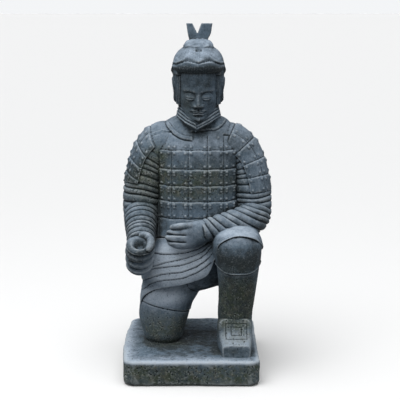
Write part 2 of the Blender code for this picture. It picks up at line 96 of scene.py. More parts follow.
def smooth(table, keys):
    """The columns of a table read at some keys, along smooth curves. Its first column is the key."""
    table, keys = np.array(table, float), np.asarray(keys, float)
    known, values = table[:, 0], table[:, 1:]
    slopes = np.gradient(values, known, axis=0)
    i = np.clip(np.searchsorted(known, keys, side="right") - 1, 0, len(known) - 2)
    width = (known[i + 1] - known[i])[..., None]
    f = (keys - known[i])[..., None] / width
    return (
        (2 * f**3 - 3 * f**2 + 1) * values[i]
        + (f**3 - 2 * f**2 + f) * width * slopes[i]
        + (3 * f**2 - 2 * f**3) * values[i + 1]
        + (f**3 - f**2) * width * slopes[i + 1]
    )


def smooth_rows(rows, places):
    """The same for rows that lie evenly from 0 to 1 and so have no key."""
    return smooth(np.column_stack([np.linspace(0, 1, len(rows)), rows]), places)


def unit(vectors):
    return vectors / (np.linalg.norm(vectors, axis=-1, keepdims=True) + 1e-12)


def axes(grid):
    """The x, y and z of a grid's points. A change to one of them changes the grid."""
    return np.moveaxis(grid, -1, 0)


def evenly(count):
    """Angles round a ring, in radians: the columns of a grid."""
    return np.arange(count) * 2 * pi / count


def span(count, low=0, high=1):
    """Even places along a form: the rows of a grid."""
    return np.linspace(low, high, count)[:, None]


def levels(low, high, step):
    """Heights up a form: the rows of a grid."""
    return np.arange(low, high, step)[:, None]


def share(values):
    return np.clip(values, 0, 1)


def ramp(values, low, high):
    """0 below low, 1 above high, and a soft step in between."""
    f = share((values - low) / (high - low))
    return f * f * (3 - 2 * f)


def bump(x, z, at_x, at_z, wide, high):
    """A soft mound, 1 at its middle."""
    return np.exp(-(((x - at_x) / wide) ** 2) - ((z - at_z) / high) ** 2)


def line(distance, width):
    """A narrow round furrow or ridge, 1 on its line."""
    return np.exp(-((distance / width) ** 2))


def nearest(values, lines):
    """How far the values are from the nearest of some lines."""
    return np.min([np.abs(values - at) for at in lines], axis=0)


def along_path(x, z, points):
    """How far places are from a path of straight stretches, and above which side of it they lie."""
    best, side = np.full(x.shape, 1e9), np.zeros(x.shape)
    for (x0, z0), (x1, z1) in zip(points, points[1:]):
        run, rise = x1 - x0, z1 - z0
        f = share(((x - x0) * run + (z - z0) * rise) / (run**2 + rise**2))
        off_x, off_z = x - x0 - f * run, z - z0 - f * rise
        distance = np.hypot(off_x, off_z)
        side = np.where(distance < best, np.sign(run * off_z - rise * off_x), side)
        best = np.minimum(best, distance)
    return best, side


def ellipse(turn, power):
    """Points of a unit superellipse, as shares of its two half-widths."""
    c, s = np.cos(turn), np.sin(turn)
    return np.sign(c) * np.abs(c) ** (2 / power), np.sign(s) * np.abs(s) ** (2 / power)


def column(table, heights, turn, power=2):
    """A grid of level rings. A row of the table is height, side, depth, half-width, half-depth.

    A turn of 0 is the viewer's right and a quarter turn is the front.
    """
    side, depth, wide, deep = axes(smooth(table, heights))
    across, ahead = ellipse(turn, power)
    return np.stack([side + wide * across, depth - deep * ahead, heights + 0 * across], axis=2)


def tube(rows, places, turn, side=(1, 0, 0), power=2, along=None, out=0):
    """A grid of rings across a path. A row is x, y, z, half-width along side, other half-width."""
    read, step = smooth_rows(rows, places), 0.01
    if along is None:
        along = (smooth_rows(rows, places + step) - smooth_rows(rows, places - step))[..., :3]
    along = unit(along)
    sides = unit(side - (along @ side)[..., None] * along)
    across, ahead = ellipse(turn, power)
    wide = (read[..., 3] + out) * across
    high = (read[..., 4] + out) * ahead
    return read[..., :3] + wide[..., None] * sides + high[..., None] * np.cross(sides, along)


def relief(grid, amount):
    """The grid with its surface moved out by an amount at each of its points."""
    round_it = np.roll(grid, -1, axis=1) - np.roll(grid, 1, axis=1)
    outward = unit(np.cross(round_it, np.gradient(grid, axis=0)))
    if ((grid - grid.mean(axis=1, keepdims=True)) * outward).sum() < 0:
        outward = -outward
    return grid + outward * amount[..., None]


def skin(grid):
    """A closed skin over a grid of rings: its points in metres and its triangles."""
    points = np.concatenate([grid.reshape(-1, 3), grid[[0, -1]].mean(axis=1)])
    rings, segments = grid.shape[:2]
    index = np.arange(rings * segments).reshape(rings, segments)
    beside = np.roll(index, -1, axis=1)
    first, last = (np.full(segments, rings * segments + n) for n in (0, 1))
    triangles = [
        (index[:-1], beside[:-1], beside[1:]),
        (index[:-1], beside[1:], index[1:]),
        (beside[0], index[0], first),
        (index[-1], beside[-1], last),
    ]
    points = (points + (MIDDLE, 0, 0)) * PART + (0, 0, PLINTH_HEIGHT)
    return points, np.concatenate([np.stack(three, axis=-1).reshape(-1, 3) for three in triangles])


class Noise:
    """Soft random hills that stay the same on each run."""

    SIDE = 48

    def __init__(self, seed):
        self.table = np.random.default_rng(seed).uniform(-1, 1, (self.SIDE,) * 3)

    def __call__(self, points, size):
        """Between -1 and 1 at each point, with hills about this size."""
        scaled = points / size
        cell = np.floor(scaled).astype(int)
        f = ramp(scaled - cell, 0, 1)
        total = np.zeros(len(points))
        for corner in np.ndindex(2, 2, 2):
            at = tuple(((cell + corner) % self.SIDE).T)
            total += np.prod(np.where(corner, f, 1 - f), axis=1) * self.table[at]
        return total


# The armour on the trunk.
TRUNK = [
    (319, 0, 48, 138, 120), (374, 0, 42, 125, 104), (423, 0, 39, 119, 96), (469, 0, 40, 120, 95),
    (517, 0, 43, 125, 96), (571, 0, 48, 130, 91), (600, 0, 52, 122, 80), (625, 0, 55, 108, 70),
    (643, 0, 56, 95, 63), (655, 0, 56, 82, 59), (664, 0, 54, 62, 54),
]
TRUNK_POWER = 2.7
TRUNK_FRONT = 48  # its front lies ahead of this depth
SKIRT_LINE = 374  # the plates end here and a plain skirt begins
PLATE_TOP = 571  # and here the plates end under the plain chest
PLATE_ROWS = (SKIRT_LINE, 423, 469, 517, PLATE_TOP)
PLATE_COLUMNS = (27.5, 75, 111.5)
SIDE_COLUMNS = (20, 70)  # depths of the seams under the arms
PLATE_LEAN = 3.2
ROW_BOW = 0.7
RIVET_RADIUS = 3.3
RIVET_HEIGHT = 3
RIVET_ASIDE = 8  # from the seam beside it
RIVET_BELOW = 9  # from the edge of its plate
RIVET_PAIR = 7.5  # between two of them, one over the other
CHEST_RIVETS = 580
LONE_RIVETS = [(59, 606), (104, 590), (106, 580)]
LAPEL = [(-98, 648), (-84, 630), (-71, 616), (-54, 606), (-39, 601), (-20, 599)]
LAPEL_WIDTH = 11
NECKLINE = [(-22, 620), (0, 622), (29, 625), (48, 625), (61, 630), (71, 637), (88, 654)]
YOKES = (
    [(-150, 598), (-145, 600), (-122, 611), (-97, 619), (-76, 621)],
    [(76, 613), (88, 611), (100, 607), (116, 597)],
)


def plate_lean(values, lines, amount):
    """Plates between these lines stand out from nothing at the low end to all at the top."""
    lines = np.array(lines, float)
    i = np.clip(np.searchsorted(lines, values, side="left") - 1, 0, len(lines) - 2)
    return amount * share((values - lines[i]) / (lines[i + 1] - lines[i])) ** 1.5


def rivets(x, z, places):
    """Round heads at some places of a surface."""
    heads = [RIVET_HEIGHT * np.exp(-((np.hypot(x - a, z - b) / RIVET_RADIUS) ** 4)) for a, b in places]
    return np.max(heads, axis=0)


def plate_rivets():
    """Heads beside each seam, along the top and the bottom of each row of plates."""
    places = [(seam, CHEST_RIVETS) for seam in PLATE_COLUMNS[:2]]
    for row, (low, high) in enumerate(zip(PLATE_ROWS, PLATE_ROWS[1:])):
        top = high - RIVET_BELOW
        heights = {top, top - RIVET_PAIR * (row < 3), low + RIVET_BELOW - 1}
        places += [(seam, height) for seam in PLATE_COLUMNS for height in heights]
    asides = [(side, aside) for side in (-1, 1) for aside in (-RIVET_ASIDE, RIVET_ASIDE)]
    return LONE_RIVETS + [(seam * side + aside, z) for seam, z in places for side, aside in asides]


def trunk():
    grid = column(TRUNK, levels(TRUNK[0][0], TRUNK[-1][0], 1.4), evenly(520), TRUNK_POWER)
    x, y, z = axes(grid)
    front, wide = y < TRUNK_FRONT, np.abs(x)
    edge = z - ROW_BOW * np.cos(2 * pi * (x - 51) / 50) * (wide < 118)
    plates = plate_lean(edge, (319, *PLATE_ROWS, 700), PLATE_LEAN) * (z < 575) * (z > SKIRT_LINE)
    plates -= 3.2 * line(nearest(edge, PLATE_ROWS), 1.6)
    seam = np.where(wide > 119, nearest(y, SIDE_COLUMNS), nearest(wide, PLATE_COLUMNS))
    parted = front * (x > 20) * (x < 80) * (z < 612)
    plain = ramp(z, PLATE_TOP, PLATE_TOP + 3) * (1 - parted) * (1 - ramp(x, 100, 104) * (z < 600))
    plain = np.maximum(plain, (z < SKIRT_LINE) * (wide < 105))
    plates -= 2.1 * line(seam, 1.2) * (1 - plain)
    plates += rivets(x, z, plate_rivets()) * (front | (z < PLATE_TOP - 1))
    return skin(relief(grid, plates + collar(x, z) * front))


def collar(x, z):
    """The edges of the armour's neck and the yoke over the shoulders, on the front."""
    distance, side = along_path(x, z, LAPEL)
    inward = distance * side
    band = ramp(inward, -1.5, 1) * (1 - 0.6 * ramp(inward, LAPEL_WIDTH - 1, LAPEL_WIDTH + 2))
    band = 3.2 * band - 2.6 * line(inward + 1.6, 1.5) - 1.6 * line(inward - LAPEL_WIDTH, 1.3)
    neck, above = along_path(x, z, NECKLINE)
    rim = 1.8 * line(neck - 5, 3.5) * (above > 0) - 2 * line(neck, 1.4)
    return band * (1 - ramp(x, -18, -13)) + rim * (x > -18) + yokes(x, z)


def yokes(x, z):
    """The lower edges of the yoke over the shoulders."""
    out = np.zeros(x.shape)
    for yoke in YOKES:
        distance, above = along_path(x, z, yoke)
        out += line(distance - 4, 3) * (above > 0) - 4 * line(distance, 1.8)
        out -= line(distance - 8, 1.4) * (x < 0) * (above > 0)
    return out


# The upper arms, from inside the trunk over the shoulder and down to the elbow.
UPPER_ARM = [
    (20, 52, 578, 50, 50), (62, 51, 582, 60, 57), (100, 48, 568, 62, 58), (130, 44, 535, 60, 57),
    (147, 39, 495, 58, 54), (157, 33, 450, 56, 53), (163, 28, 405, 53, 52), (163, 24, 372, 50, 50),
]
ARM_SHIFT = (-3, 0, 3)
MIRRORED = (-1, 1, 1)
ARM_LENGTH = 320  # along the arm's middle
YOKE_BACK = 40  # the yoke's edge runs ahead of this depth
SLEEVE_THICK = 3.5
SLEEVE_FOLDS = (0.38, 0.96, 10)  # where the folds start and end along the arm, and their count
SWELL_AT, SWELL_TURN = 0.29, radians(270)  # the shoulder's fullest place
GUARD_START = 0.10
GUARD_THICK = 7
GUARD_RADIUS = 62
GUARD_BACK = radians(364)
GUARD_COLUMNS = 4
# Each guard: its side, its front edge, the lines under its rows of plates, its end, how much higher
# the lines lie outside than in front, and how far the shoulder swells.
RIGHT_GUARD = (1, radians(176), (0.10, 0.225, 0.351, 0.488, 0.622, 0.76), 0.753, 0, 6)
LEFT_GUARD = (-1, radians(197), (0.10, 0.341, 0.449, 0.557, 0.665, 0.78), 0.69, 0.065, 8.5)


def folds(places, stretch, depth, uneven, waves, phase=0):
    """Soft flat folds with thin dips between them, over a stretch given by its start, end and count."""
    start, end, count = stretch
    f = (places - start) / (end - start)
    f = f + uneven * np.sin(waves * f + phase)
    inside = ramp(f, -0.02, 0.03) * (1 - ramp(f, 0.97, 1.02))
    within = share(f) * count % 1
    dip = line(np.minimum(within, 1 - within), 0.11)
    return depth * (0.5 * np.sin(pi * within) - 0.6 * dip) * inside


def shoulder_swell(place, turn, amount):
    return amount * line(place - SWELL_AT, 0.15) * line(turn - SWELL_TURN, 0.8)


def upper_arm(phase, swell):
    place, turn = span(260), evenly(240)
    grid = tube(UPPER_ARM, place, turn, (0, 1, 0), out=SLEEVE_THICK)
    drift = 0.012 * np.sin(turn + phase) + 0.007 * np.sin(3 * turn + 2 * phase)
    depth = 4 + 2 * ramp(place, 0.62, 0.76)
    deep = folds(place + drift, SLEEVE_FOLDS, depth, 0.018, 17, phase)
    return relief(grid, deep + shoulder_swell(place, turn, swell))


def shoulder_guard(side, front, rows, end, tilt, swell):
    """Rows of plates that lie on the sleeve, under a plain top row."""
    columns = np.linspace(front, GUARD_BACK, GUARD_COLUMNS + 1)
    place, turn = span(200, GUARD_START, end), np.linspace(front, GUARD_BACK, 200)
    level = place + tilt * np.sin(turn) ** 2
    rows = np.array(rows)
    seams, edges = columns * GUARD_RADIUS, rows * ARM_LENGTH
    across, down = turn * GUARD_RADIUS, level * ARM_LENGTH
    top_row = 1 - ramp(level, rows[1] - 0.01, rows[1])
    thick = GUARD_THICK * share((place - GUARD_START) * 8)
    thick = thick * (1 - 0.6 * top_row * (1 - ramp(turn, front, front + 1.2)))
    thick += plate_lean(-level, sorted(-rows), 2) * (1 - top_row)
    thick -= 2.6 * line(nearest(down, edges[1:]), 1.4)
    thick -= 2 * line(nearest(across, seams[1:-1]), 1.2) * (1 - top_row)
    thick += shoulder_swell(place, turn, swell)
    heights = [*(edges[1:-1] + RIVET_BELOW), *(edges[2:] - RIVET_BELOW)]
    beside = [*(seams - RIVET_ASIDE), *(seams + RIVET_ASIDE)]
    thick += rivets(across, down, [(a, b) for a in beside for b in heights])
    outer = tube(UPPER_ARM, place, turn, (0, 1, 0), out=thick)
    thick += yokes(side * outer[..., 0], outer[..., 2]) * (outer[..., 1] < YOKE_BACK) * top_row
    outer = tube(UPPER_ARM, place, turn, (0, 1, 0), out=thick)
    inner = tube(UPPER_ARM, place, turn[::-6], (0, 1, 0), out=-14)
    return np.concatenate([outer, inner], axis=1)


# The forearms. The one on the viewer's right lies across the belly, the other points forward.
FOREARM_ACROSS = [
    (158, 20, 388, 49, 48), (165, 6, 377, 49, 48), (149, -30, 367, 46, 45), (102, -66, 360, 40, 40),
    (50, -92, 353, 33, 34), (10, -106, 348, 29, 28),
]
PLEATS = (0.10, 1.02, 9)
PLEAT_LEAN = 0.0052  # how far a pleat runs along the arm for each part that it drops
FOREARM_AHEAD = [
    (-164, 36, 400, 51, 51), (-166, 10, 384, 51, 51), (-166, -30, 355, 46, 47), (-165, -62, 331, 41, 43),
    (-164, -92, 309, 38, 40),
]
RINGS = (0.10, 1, 10)


def forearm_across():
    place = span(280)
    grid = tube(FOREARM_ACROSS, place, evenly(260), (0, 1, 0))
    lift = grid[..., 2] - grid[..., 2].mean(axis=1, keepdims=True)
    slanting = place - PLEAT_LEAN * (1.25 - 0.9 * place) * lift
    return skin(relief(grid, folds(slanting, PLEATS, 6, 0.012, 23, 1)))


def forearm_ahead():
    place, turn = span(180), evenly(220)
    wavy = place + 0.015 * np.sin(turn + 2)
    return skin(relief(tube(FOREARM_AHEAD, place, turn), folds(wavy, RINGS, 3.8, 0.016, 19)))


def rod(points, radius):
    """A rounded rod along a few points, a little thicker at its joints."""
    ends = [0.8] + [1] * (len(points) - 2) + [0.7]
    rows = [(*p, radius * e, radius * e) for p, e in zip(points, ends)]
    place, tip = span(70), 0.88
    joint = line(nearest(place, (0.35, 0.66)), 0.08)
    end = np.sqrt(share(1 - ((place - tip) / 0.12) ** 2)) - 1
    out = 0.5 * joint + radius * 0.6 * end * (place > tip)
    return skin(relief(tube(rows, place, evenly(60), (0, 0, 1)), out))


# The resting hand is one soft form with the gaps between its fingers cut in.
PALM = [
    (36, -92, 347, 30, 24), (10, -107, 345, 34, 25), (-18, -114, 338, 37, 23), (-38, -117, 332, 35, 19),
    (-58, -115, 328, 31, 15), (-76, -110, 327, 27, 12), (-88, -106, 327, 22, 8), (-93, -104, 327, 15, 3),
]
FINGER_GAPS = ((340, 341), (319, 320))  # height at the tip and at the knuckle
KNUCKLES = ((-37, 350), (-40, 330), (-41, 309))
THUMB = [(14, -112, 362), (-20, -124, 366), (-50, -124, 365), (-80, -111, 360)]
THUMB_RADIUS = 9.5


def resting_hand():
    grid = tube(PALM, span(160), evenly(240), (0, 0, 1), 2.4)
    x, y, z = axes(grid)
    along, width = ramp(-x, 28, 46), 2 + 3 * ramp(-x, 66, 90)
    out = sum(1.6 * bump(x, z, *knuckle, 9, 7) for knuckle in KNUCKLES)
    for at_tip, at_knuckle in FINGER_GAPS:
        gap = at_knuckle + (at_tip - at_knuckle) * share((-x - 40) / 50)
        out -= 8 * line((z - gap) / width, 1) * along
    grid = relief(grid, out * (y < y.mean(axis=1, keepdims=True)))
    short = 13 * share((322 - z) / 24) + 4 * share((z - 340) / 16)
    grid[..., 0] += short * ramp(-x, 50, 90)
    return [skin(grid), rod(THUMB, THUMB_RADIUS)]


# The hand at the viewer's left is a fist round an empty socket that points up and forward.
FIST = [
    (-168, -80, 234, 20, 20), (-168, -83, 239, 31, 30), (-168, -91, 252, 37, 36),
    (-167, -102, 272, 38, 38), (-165, -116, 291, 39, 39), (-163, -130, 311, 39, 39),
    (-163, -136, 316, 36, 36), (-163, -141, 319, 30, 29), (-163, -144, 319, 25, 23),
    (-163, -144, 316, 19, 18), (-163, -142, 311, 15, 15), (-163, -139, 306, 11, 11),
    (-163, -138, 304, 6, 6),
]
FIST_AXIS = (0, -0.574, 0.819)
FIST_GAPS = (0.1875, 0.2847, 0.3875)  # between the curled fingers, as shares of the rows above
FIST_THUMB = [
    (-166, -113, 335), (-147, -117, 336), (-134, -131, 328), (-134, -149, 314), (-143, -163, 300),
]
FIST_THUMB_RADIUS = 11.5


def fist():
    place, turn = span(260), evenly(200)
    gap = nearest(place + 0.008 * np.cos(turn + 0.5), FIST_GAPS)
    curled = 3 * np.sin(share(gap / 0.045) * pi / 2)
    out = (curled - 9 * line(gap, 0.020)) * (1 - ramp(place, 0.42, 0.47))
    grid = relief(tube(FIST, place, turn, along=FIST_AXIS), out)
    return [skin(grid), rod(FIST_THUMB, FIST_THUMB_RADIUS)]


# The robe over the lap. Each station joins a point of the waist to a point of the hem.
LAP = [
    (-104, 118, 290, -124, 150, 110), (-124, 84, 292, -156, 104, 98), (-130, 55, 297, -167, 55, 96),
    (-127, 12, 305, -172, -4, 100), (-113, -38, 314, -158, -46, 142), (-80, -62, 320, -107, -80, 172),
    (-36, -72, 322, -52, -92, 184), (10, -74, 328, 3, -94, 201), (42, -72, 345, 32, -108, 224),
    (62, -68, 362, 51, -145, 284), (80, -62, 364, 61, -168, 322), (108, -52, 364, 108, -175, 346),
    (144, -40, 358, 158, -168, 338), (160, -6, 346, 187, -120, 306), (158, 30, 328, 184, -40, 274),
    (146, 70, 308, 172, 34, 232), (122, 104, 296, 142, 92, 204), (84, 130, 292, 84, 128, 184),
]
LAP_CORE = [
    (-70, 70, 220), (-62, 30, 226), (0, 10, 250), (62, 0, 290),
    (108, -60, 300), (96, 20, 270), (60, 60, 240),
]
SWELL_FADE = (0.50, 0.62)
SWELL = (19, 8)
HEM_THICK = 12

# The edges of the robe's folds. Beyond the viewer's left they run on round the side to the back.
ROBE_FOLDS = (
    [(-300, 268), (-124, 275), (-98, 275), (-62, 278), (-33, 283), (3, 294), (25, 308), (36, 322),
     (52, 340)],
    [(-300, 226), (-170, 230), (-120, 241), (-94, 252), (-62, 260), (-37, 267), (-8, 277), (14, 288),
     (32, 304)],
    [(-126, 232), (-115, 235), (-80, 242), (-51, 246), (-22, 255), (6, 268), (24, 283), (38, 302)],
    [(-300, 184), (-180, 188), (-150, 196), (-132, 206), (-105, 217), (-76, 223), (-47, 226), (-26, 234),
     (-4, 243), (17, 258), (32, 273), (46, 294)],
    [(-300, 150), (-195, 156), (-162, 168), (-143, 180), (-120, 194), (-95, 201), (-69, 204), (-44, 208),
     (-22, 217), (-1, 226), (21, 242), (38, 260)],
)


def robe_folds(x, z):
    """Each fold laps a little over the one below it."""
    out = np.zeros(x.shape)
    for path in ROBE_FOLDS:
        distance, above = along_path(x, z, path)
        out += 3.4 * np.exp(-distance / 8) * (above > 0) - 2.6 * line(distance, 1.6)
    return out


def lap():
    station, down = span(460), np.linspace(0, 1, 260)
    read, core = smooth_rows(LAP, station), smooth_rows(LAP_CORE, station)
    waist, hem = read[..., :3], read[..., 3:]
    surface = waist + (hem - waist) * down[:, None]
    full, flat = SWELL
    swell = (flat + (full - flat) * (1 - ramp(station, *SWELL_FADE))) * np.sin(pi * down)
    outward = unit(surface - core)
    surface = surface + outward * swell[..., None]
    x, y, z = axes(surface)
    unrolled = x - np.clip(y + 60, 0, None) * (x < -60)
    dip = 8 * line(z - 168, 24) * ramp(-x, 100, 140)
    surface = surface + outward * (robe_folds(unrolled, z) - dip)[..., None]
    rim = [surface[:, -1:] * (1 - s) + (hem + unit(core - hem) * HEM_THICK) * s for s in (0.3, 0.7, 1)]
    inner = [surface[:, :1] * s + core * (1 - s) for s in (0, 0.5)]
    return skin(np.concatenate([surface, *rim, *inner], axis=1))


# The seat and the back of the robe.
SEAT = [
    (152, -2, 56, 100, 84), (160, -3, 58, 120, 104), (185, -4, 58, 134, 118), (230, 0, 57, 140, 122),
    (280, 0, 54, 138, 122), (330, 0, 46, 126, 110),
]
SEAT_PLEATS = 7
SEAT_DROP = 44


def seat():
    height, turn = levels(152, 331, 2), evenly(420)
    depth = share((300 - height) / 100) * share(-np.sin(turn) * 2)
    pleats = np.abs(np.sin(turn * SEAT_PLEATS)) ** 0.6 * 7 - 3.5
    grid = relief(column(SEAT, height, turn, 2.4), depth * pleats)
    x, y, z = axes(grid)
    z += 13 * share(x / 56) * share((200 - z) / 48)
    drop = share(-x / 50) * share((y - 60) / 70)
    z -= SEAT_DROP * drop * share((245 - z) / 90)
    return skin(grid)


# The kneeling leg.
KNEELING = [
    (SINK, -103, 0, 44, 47), (15, -103, -1, 57, 56), (40, -103, -1, 64, 60), (75, -101, -1, 73.5, 62),
    (97, -98, 1, 76, 64), (127, -92, 4, 77, 68), (170, -86, 12, 76, 74), (230, -76, 30, 74, 80),
    (290, -62, 50, 70, 80),
]
KNEE_SEAM, KNEE_SEAM_RISE = 109, 17
CALF = [(-99, 0, 50, 50, 48), (-97, 70, 55, 46, 50), (-95, 140, 76, 38, 42), (-94, 190, 98, 28, 30)]
FOOT = [
    (-94, 186, 128, 22, 18), (-94, 190, 112, 31, 27), (-94, 192, 80, 33, 29), (-95, 196, 40, 36, 25),
    (-96, 200, 14, 39, 27), (-96, 200, SINK, 38, 27),
]


def kneeling_leg():
    height, turn = levels(SINK, 288, 1.5), evenly(300)
    above = height - KNEE_SEAM + KNEE_SEAM_RISE * np.cos(turn)
    cuff = 2.2 * ramp(above, -1.5, 1.5) - 2.4 * line(above + 1.2, 1.5)
    cuff += 18 * share(np.cos(turn)) * ramp(height, 108, 165)
    thigh = relief(column(KNEELING, height, turn, 2.1), cuff)
    calf, foot = tube(CALF, span(90), evenly(160)), tube(FOOT, span(100), evenly(140), power=2.6)
    return [skin(thigh), skin(calf), skin(foot)]


# The raised leg: the thigh, the knee in its trouser, and the boot.
THIGH = [
    (52, 96, 290, 74, 66), (72, 30, 300, 70, 66), (92, -40, 300, 68, 61), (108, -96, 304, 65, 54),
    (112, -128, 304, 56, 50), (112, -152, 304, 34, 34),
]
SHIN = [
    (SINK, 108, -95, 42, 40), (60, 108, -95, 48, 46), (105, 108, -93, 50, 49), (152, 112, -98, 52, 53),
    (211, 115, -105, 57, 60), (250, 115, -112, 61, 65), (296, 112, -115, 68, 67), (325, 112, -114, 66, 62),
    (348, 111, -112, 46, 46), (356, 110, -112, 26, 26),
]
TROUSER_END, TROUSER_RISE = 236, 25
BOOT_FOOT = [
    (108, -40, 22, 37, 28), (108, -46, 34, 44, 40), (108, -66, 46, 49, 52), (107, -100, 48, 51, 54),
    (107, -135, 47, 49, 53), (107.5, -143, 45, 48.5, 51), (108, -150, 36.5, 47.5, 42.5),
    (108.5, -158, 28.5, 46, 34.5), (109.5, -169, 22, 43.5, 28), (110, -182, 15.5, 41.5, 21.5),
    (110, -190, 14, 39.5, 20),
]
SQUARES_AT = (110, 39.5)  # the middle of the squares cut on the instep: sideways, and up its slope
SQUARES = ((30, 21), (14.5, 10.5))  # half-width and half-length of each


def raised_leg():
    height, turn = levels(SINK, 356, 1.5), evenly(280)
    grid = column(SHIN, height, turn, 2.1)
    above = height - TROUSER_END - TROUSER_RISE * np.cos(turn) ** 4
    cuff = 2 * ramp(above, -1.5, 1.5) + 3.2 * line(above - 1.6, 1.9) - 2.4 * line(above + 2.8, 1.7)
    strap = (1 - ramp(np.abs(grid[..., 0] - 110), 6, 9)) * (grid[..., 1] < -95)
    cuff += 0.7 * strap * (1 - ramp(above, -30, -6))
    return [skin(relief(grid, cuff)), skin(tube(THIGH, span(120), evenly(200))), boot_foot()]


def boot_foot():
    grid = tube(BOOT_FOOT, span(220), evenly(1000), power=4.5, along=(0, -1, 0))
    x, y, z = axes(grid)
    aside, ahead = np.abs(x - SQUARES_AT[0]), np.abs(0.986 * z + 0.166 * y - SQUARES_AT[1])
    edges = [np.maximum(aside - wide, ahead - long) for wide, long in SQUARES]
    cut = line(np.min(np.abs(edges), axis=0), 1.7)
    sole = line(z - 9, 1.3) * (z < 20)
    return skin(relief(grid, -1.7 * cut * (z > 24) - sole))


# The head, in its own upright frame, which is then bowed. Its face is a general one.
HEAD_PLACE = (2, 20, 745)
HEAD_BOW = radians(10)
HEAD = [
    (-84, 0, -34, 20, 30), (-76, 0, -24, 34, 46), (-60, 0, -12, 47, 58), (-38, 0, -4, 54, 66),
    (-12, 0, 0, 58, 72), (20, 0, 2, 59, 75), (60, 0, 2, 58, 74), (90, 0, 4, 54, 64),
]
HAIR_LIFT = 19  # how much higher the hair's rim is over the forehead than behind
BUN_FOOT, BUN_LIFT = 118, 6  # the foot of the bun, and how much higher it is in front
HAIR = [
    (-46, 0, 40, 50, 36), (-30, 0, 33, 59, 48), (-10, 0, 26, 63, 56), (22, 0, 12, 68, 70),
    (34, 0, 2, 71, 79), (44, 0, 2, 75, 76), (52, 0, 2, 79, 81.5), (62, 0, 1, 77, 84.5), (78, 0, 2, 73, 84),
    (94, 0, 4, 68, 80), (106, 0, 9, 59, 68), (113, 0, 15, 50, 54), (118, 0, 18, 44.5, 45),
    (123, 0, 18, 43.5, 42.5), (130, 0, 20, 39, 38), (136, 0, 21, 30, 29), (139, 0, 21, 18, 17),
]
EYE_SIDE, EYE_LEVEL, EYE_HALF = 24.5, -8, 12.5
NOSE = [
    (-45, 0, 12), (-41, 2, 12), (-37, 10, 11.5), (-33, 17, 10.5), (-28, 17.5, 9.5), (-20, 13.5, 9),
    (-10, 9, 8.5), (0, 5.5, 8.5), (8, 3.8, 9), (16, 2, 11), (26, 0, 12),
]
MOUTH_LEVEL, MOUTH_HALF = -54, 19
CHIN_LEVEL = -75


def bowed(grid):
    """A skin over a grid that moves from the head's frame to the figure's."""
    c, s = cos(HEAD_BOW), sin(HEAD_BOW)
    x, y, z = axes(grid)
    return skin(np.stack([x, y * c - z * s, y * s + z * c], axis=-1) + HEAD_PLACE)


def eyes(spread, z):
    """The sockets and the eyes under their lowered lids."""
    across = (spread - EYE_SIDE) / EYE_HALF
    arch = np.sqrt(share(1 - across**2))
    upper = EYE_LEVEL - 1.6 - 0.9 * arch
    lower = upper - 3 * arch
    socket = -6 * bump(spread, z, 24, -3, 18, 12)
    ball = 6 * share(1 - (across / 1.25) ** 2 - ((z - EYE_LEVEL) / 12.5) ** 2) ** 0.75
    inside = ramp(upper - z, -0.7, 0.7) * ramp(z - lower, -0.7, 0.7) * (np.abs(across) < 1)
    lid = 0.7 * line(z - upper - 1, 1.2) * (np.abs(across) < 1.05)
    crease = -0.6 * line(z - EYE_LEVEL - 6.5 * arch - 0.5, 1.4) * ramp(arch, 0.1, 0.6)
    under = -0.3 * line(z - lower + 4.5, 2.2) * ramp(arch, 0.2, 0.6)
    return socket + ball - 1.9 * inside + lid + crease + under


def brows(spread, z):
    level = 5.5 + 4.5 * np.sin(share((spread - 7) / 38) * pi * 0.85)
    inside = ramp(spread, 3, 13) * (1 - ramp(spread, 40, 52))
    return (3.2 * line(z - level, 5.5) + 0.5 * line(z - level + 1, 1.6)) * inside


def nose(x, z):
    height, width = axes(smooth(NOSE, np.clip(z, NOSE[0][0], NOSE[-1][0])))
    spread = np.abs(x)
    ridge = height * np.exp(-((spread / width) ** 2.2))
    wings = 7 * bump(spread, z, 11, -33, 5.5, 5.5)
    wing_crease = -1.2 * line(np.hypot(spread - 10.5, z + 32.5) - 8, 1.3) * ramp(spread, 12, 15)
    nostrils = -2.6 * bump(spread, z, 6, -39, 3, 1.8)
    return ridge + wings + wing_crease + nostrils


def mouth(x, z):
    parting = MOUTH_LEVEL + 0.9 * np.cos(x / MOUTH_HALF * pi * 1.5) - 0.6
    inside = share(1 - (x / MOUTH_HALF) ** 2)
    upper = 4.2 * line(z - parting - 3, 2.8) * inside**0.7
    lower = 4.8 * line(z - parting + 3.6, 3.2) * share(1 - (x / 17) ** 2) ** 0.7
    cut = -2.8 * line(z - parting, 0.9) * ramp(inside, 0, 0.15)
    corners = -1.6 * bump(np.abs(x), z, MOUTH_HALF + 2.5, MOUTH_LEVEL, 4, 4)
    groove = -1.2 * bump(x, z, 0, -43.5, 2.4, 3.6)
    muzzle = 3.5 * bump(x, z, 0, -49, 24, 15)
    return upper + lower + cut + corners + groove + muzzle


def beard(x, z):
    """A small moustache in two tufts and a short tuft on the chin, with combed lines."""
    spread = np.abs(x)
    tuft = ramp(spread, 1, 4) * (1 - ramp(spread, 18, 28))
    moustache = (2.6 + 0.4 * np.sin(spread * 1.6 + z * 1.2)) * line(z + 45.5 + 0.12 * spread, 2.5) * tuft
    narrow = 6.5 - 0.22 * (-66 - z)
    chin = (2.8 + 0.5 * np.sin(x * 2.2)) * np.exp(-((x / narrow) ** 4)) * ramp(-z, 66, 69)
    return moustache + chin * (1 - ramp(-z, 79, 83))


